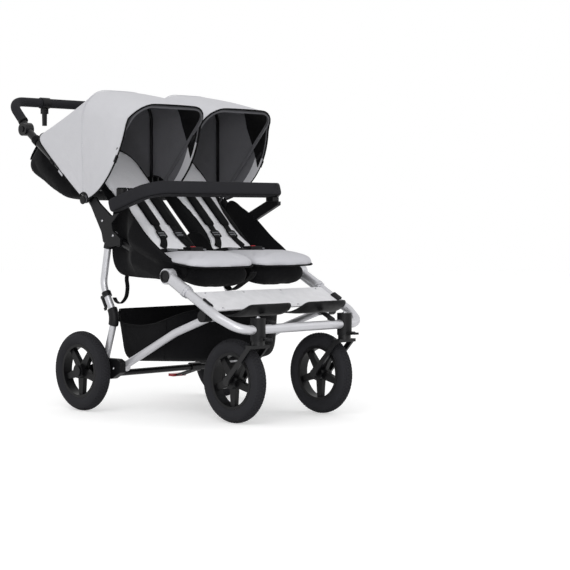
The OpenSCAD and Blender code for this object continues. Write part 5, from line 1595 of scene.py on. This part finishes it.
class PRAM_OT_bumper(bpy.types.Operator):
    """Makes the squared foam bumper bar with its seam."""

    bl_idname = "pram.bumper"
    bl_label = "Bumper bar"

    CORNERS, BEND_R = ((-280, -132, 653), (-262, -293, 706), (277, -293, 706)), 60
    HALF, CUFF_HALF, SQUARE = 22.4 * MM, 23.0 * MM, 4.2
    # Place of the seam in the bar's section.
    SEAM = np.array([[19.6, -21.3]]) * MM

    def execute(self, context):
        line = even(spots(rounded_path(self.CORNERS, self.BEND_R, 12)), 90)
        near, far = unit(line[0] - line[1]), unit(line[-1] - line[-2])
        cap = [line[0] + near * d * MM for d in (6, 4)]
        path = np.vstack([*cap, line, line[-1] + far * 1.5 * MM])
        scale = np.ones(len(path))
        scale[:5] = (0.55, 0.8, 0.92, 0.98, 1.0)
        scale[-2:] = (1.0, 0.93)
        rings = swept(path, superellipse(self.HALF, self.HALF, self.SQUARE, 40), scale=scale)
        bar = smoothed(solid("bumper_bar", rings, finish("foam")))
        settled(bar, "bumper", "foam_black", "bumper_bar")
        seam = tube("bumper_seam", swept(line[2:-1], self.SEAM)[:, 0], 0.9 * MM, finish("binding"), sides=8)
        rings = swept(line[-3:] - far * 4 * MM, superellipse(self.CUFF_HALF, self.CUFF_HALF, self.SQUARE, 40))
        cuff = solid("bumper_cuff", rings, finish("black_plastic"))
        settled(joined("bumper_trim", [seam, cuff]), "bumper", "plastic_black")
        return {"FINISHED"}


class PRAM_OT_grip(bpy.types.Operator):
    """Makes the foam grip of the handle with its end collars."""

    bl_idname = "pram.grip"
    bl_label = "Handle grip"

    # The tilt hinge and the cross bar (y, z), half the bar's width and the foam's start above the hinge.
    HINGE, BAR = np.array((349.0, 911.0)), np.array((450.0, 1010.0))
    HALF, START, BEND_R = 254, 40, 50
    FOAM_R, COLLAR_R = 16 * MM, 16.8 * MM

    def execute(self, context):
        start = self.HINGE + unit(self.BAR - self.HINGE) * self.START
        corners = [(self.HALF, *start), (self.HALF, *self.BAR)]
        corners += [(-x, *place) for x, *place in corners[::-1]]
        line = even(spots(rounded_path(corners, self.BEND_R, 14)), 140)
        scale = np.ones(len(line))
        scale[[0, 1, -2, -1]] = (0.9, 0.98, 0.98, 0.9)
        rings = swept(line, superellipse(self.FOAM_R, self.FOAM_R, 2, 24), scale=scale)
        foam = smoothed(solid("handle_grip", rings, finish("foam")))
        settled(foam, "handle", "foam_black", "handle_grip")
        collars = []
        for a, b in ((0, 3), (-1, -4)):
            along = unit(line[b] - line[a]) * MM
            path = [line[a] + along * d for d in (-3, -2, 5, 6)]
            rings = swept(path, superellipse(self.COLLAR_R, self.COLLAR_R, 2, 32), scale=(0.9, 1, 1, 0.9))
            collars.append(solid("collar", rings, finish("black_plastic")))
        settled(joined("grip_collars", collars), "handle", "plastic_black")
        return {"FINISHED"}


class PRAM_OT_foot_trays(bpy.types.Operator):
    """Makes the two foot trays with their upturned lips."""

    bl_idname = "pram.foot_trays"
    bl_label = "Foot trays"

    MID_X, HALF, REAR, AHEAD, BASE = 121, 109, -580, -675, 325.6
    # Share of the half width where a front corner starts to round, and how far back the corner goes.
    CORNER_AT, CORNER_BACK = 0.66, 52
    # The lip rises ahead of the middle.
    LIP, LIP_AT, EDGE_RISE, DIP, WALL = 35.5, 0.5, 3.5, 1.2, 4.5 * MM
    UNDER = (130, -640, 200)
    # The post on the front bar: height and place of its rings.
    POST_X, POST = 128, ((300.5, -687), (306, -685), (314, -668), (322.5, -650))

    def execute(self, context):
        for side, sign in SIDES:
            rows = [[self.place(u, v) for u in np.linspace(-1, 1, 41)] for v in np.linspace(0, 1, 22)]
            tray = shell(f"foot_tray_{side}", spots(sided(rows, sign)), finish("black_plastic"))
            face_out(tray, spots(sided([self.UNDER], sign))[0])
            settled(smoothed(walled(tray, self.WALL)), "front_frame", "plastic_black")
            post = [[(self.POST_X + x, back + y, z) for x, y in superellipse(12, 9, 3, 20)]
                    for z, back in self.POST]
            foot = solid(f"tray_post_{side}", spots(sided(post, sign)), finish("black_plastic"))
            settled(foot, "front_frame", "plastic_black")
        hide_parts("foot_trays")
        return {"FINISHED"}

    def place(self, u, v):
        """A point of the tray, u from side to side and v from its rear edge to its lip."""
        corner = max(0, (abs(u) - self.CORNER_AT) / (1 - self.CORNER_AT))
        ahead = self.AHEAD + self.CORNER_BACK * (1 - math.sqrt(1 - min(corner, 0.999) ** 2))
        lip = self.LIP * (1 - corner ** 2.6) * max(0, (v - self.LIP_AT) / (1 - self.LIP_AT)) ** 1.5
        rise = lip + self.EDGE_RISE * abs(u) ** 8 - self.DIP * (1 - u * u) * (1 - v)
        return self.MID_X + self.HALF * u, self.REAR + (ahead - self.REAR) * v, self.BASE + rise


class PRAM_OT_fasteners(bpy.types.Operator):
    """Puts the screws on the foot plate, the housings and the side joints."""

    bl_idname = "pram.fasteners"
    bl_label = "Screws"

    # The front tube under the plate (y, z), from its hub to its lower end, and the plate's height above it.
    HUB, LOW_END, PLATE_LIFT = (-397, 438), (-687, 286), 10.4
    PLATE_X, PLATE_DOWN = (-238, -80, 80, 238), (126, 214)
    # On each side: name, body, radius and places (x, y, z).
    SIDE_SCREWS = (
        ("joint_screws", "main_frame", 4.2, ((282.4, -130, 560), (282.4, -76, 606))),
        ("bracket_screws", "rear_frame", 4.2, ((274.6, -120, 140), (274.6, -40, 128))))
    CAP, CAP_R, PLATE_R = (187, -687, 320.6), 7.5, 3.4

    def execute(self, context):
        (y, z), (low_y, low_z) = self.HUB, self.LOW_END
        slope = math.atan2(z - low_z, y - low_y)
        cos, sin = math.cos(slope), math.sin(slope)
        points = [(x, y - down * cos - self.PLATE_LIFT * sin, z - down * sin + self.PLATE_LIFT * cos)
                  for x in self.PLATE_X for down in self.PLATE_DOWN]
        self.screws("plate_screws", points, Euler((slope, 0, 0)), self.PLATE_R, "front_frame")
        for side, sign in SIDES:
            spin = Euler((0, math.pi / 2 * sign, 0))
            for name, body, radius, places in self.SIDE_SCREWS:
                self.screws(f"{name}_{side}", sided(places, sign), spin, radius, body)
            self.screws(f"caster_caps_{side}", sided([self.CAP], sign), Euler(), self.CAP_R, "front_frame")
        return {"FINISHED"}

    def screws(self, name, points, turn, radius, body):
        mesh = bpy.data.meshes.new(name)
        mesh.from_pydata([tuple(p) for p in spots(points)], [], [])
        made = grown(name, screw_tree, mesh, Radius=radius * MM, Turn=turn, Metal=finish("steel"))
        settled(made, body, "steel")


CLASSES = (PramSizes, PramColours, PRAM_OT_stage, PRAM_OT_frame, PRAM_OT_wheels, PRAM_OT_seat_base,
           PRAM_OT_seat_pads, PRAM_OT_seat_backs, PRAM_OT_harness, PRAM_OT_canopies, PRAM_OT_basket,
           PRAM_OT_bag, PRAM_OT_bumper, PRAM_OT_grip, PRAM_OT_foot_trays, PRAM_OT_fasteners)
OPERATORS = [c for c in CLASSES if issubclass(c, bpy.types.Operator)]


class PRAM_PT_panel(bpy.types.Panel):
    """Lists the sizes, the colours and the pieces of the pram."""

    bl_idname = "PRAM_PT_panel"
    bl_label = "Twin Pram"
    bl_space_type = "VIEW_3D"
    bl_region_type = "UI"
    bl_category = "Pram"

    def draw(self, context):
        for group in (context.scene.pram_sizes, context.scene.pram_colours):
            box = self.layout.box()
            for prop in group.__annotations__:
                box.prop(group, prop)
        for operator in OPERATORS:
            self.layout.operator(operator.bl_idname)


def register():
    for cls in (*CLASSES, PRAM_PT_panel):
        bpy.utils.register_class(cls)
    bpy.types.Scene.pram_sizes = bpy.props.PointerProperty(type=PramSizes)
    bpy.types.Scene.pram_colours = bpy.props.PointerProperty(type=PramColours)


def unregister():
    del bpy.types.Scene.pram_sizes
    del bpy.types.Scene.pram_colours
    for cls in reversed((*CLASSES, PRAM_PT_panel)):
        bpy.utils.unregister_class(cls)


def main():
    register()
    for operator in OPERATORS:
        group, name = operator.bl_idname.split(".")
        getattr(getattr(bpy.ops, group), name)()


if __name__ == "__main__":
    main()
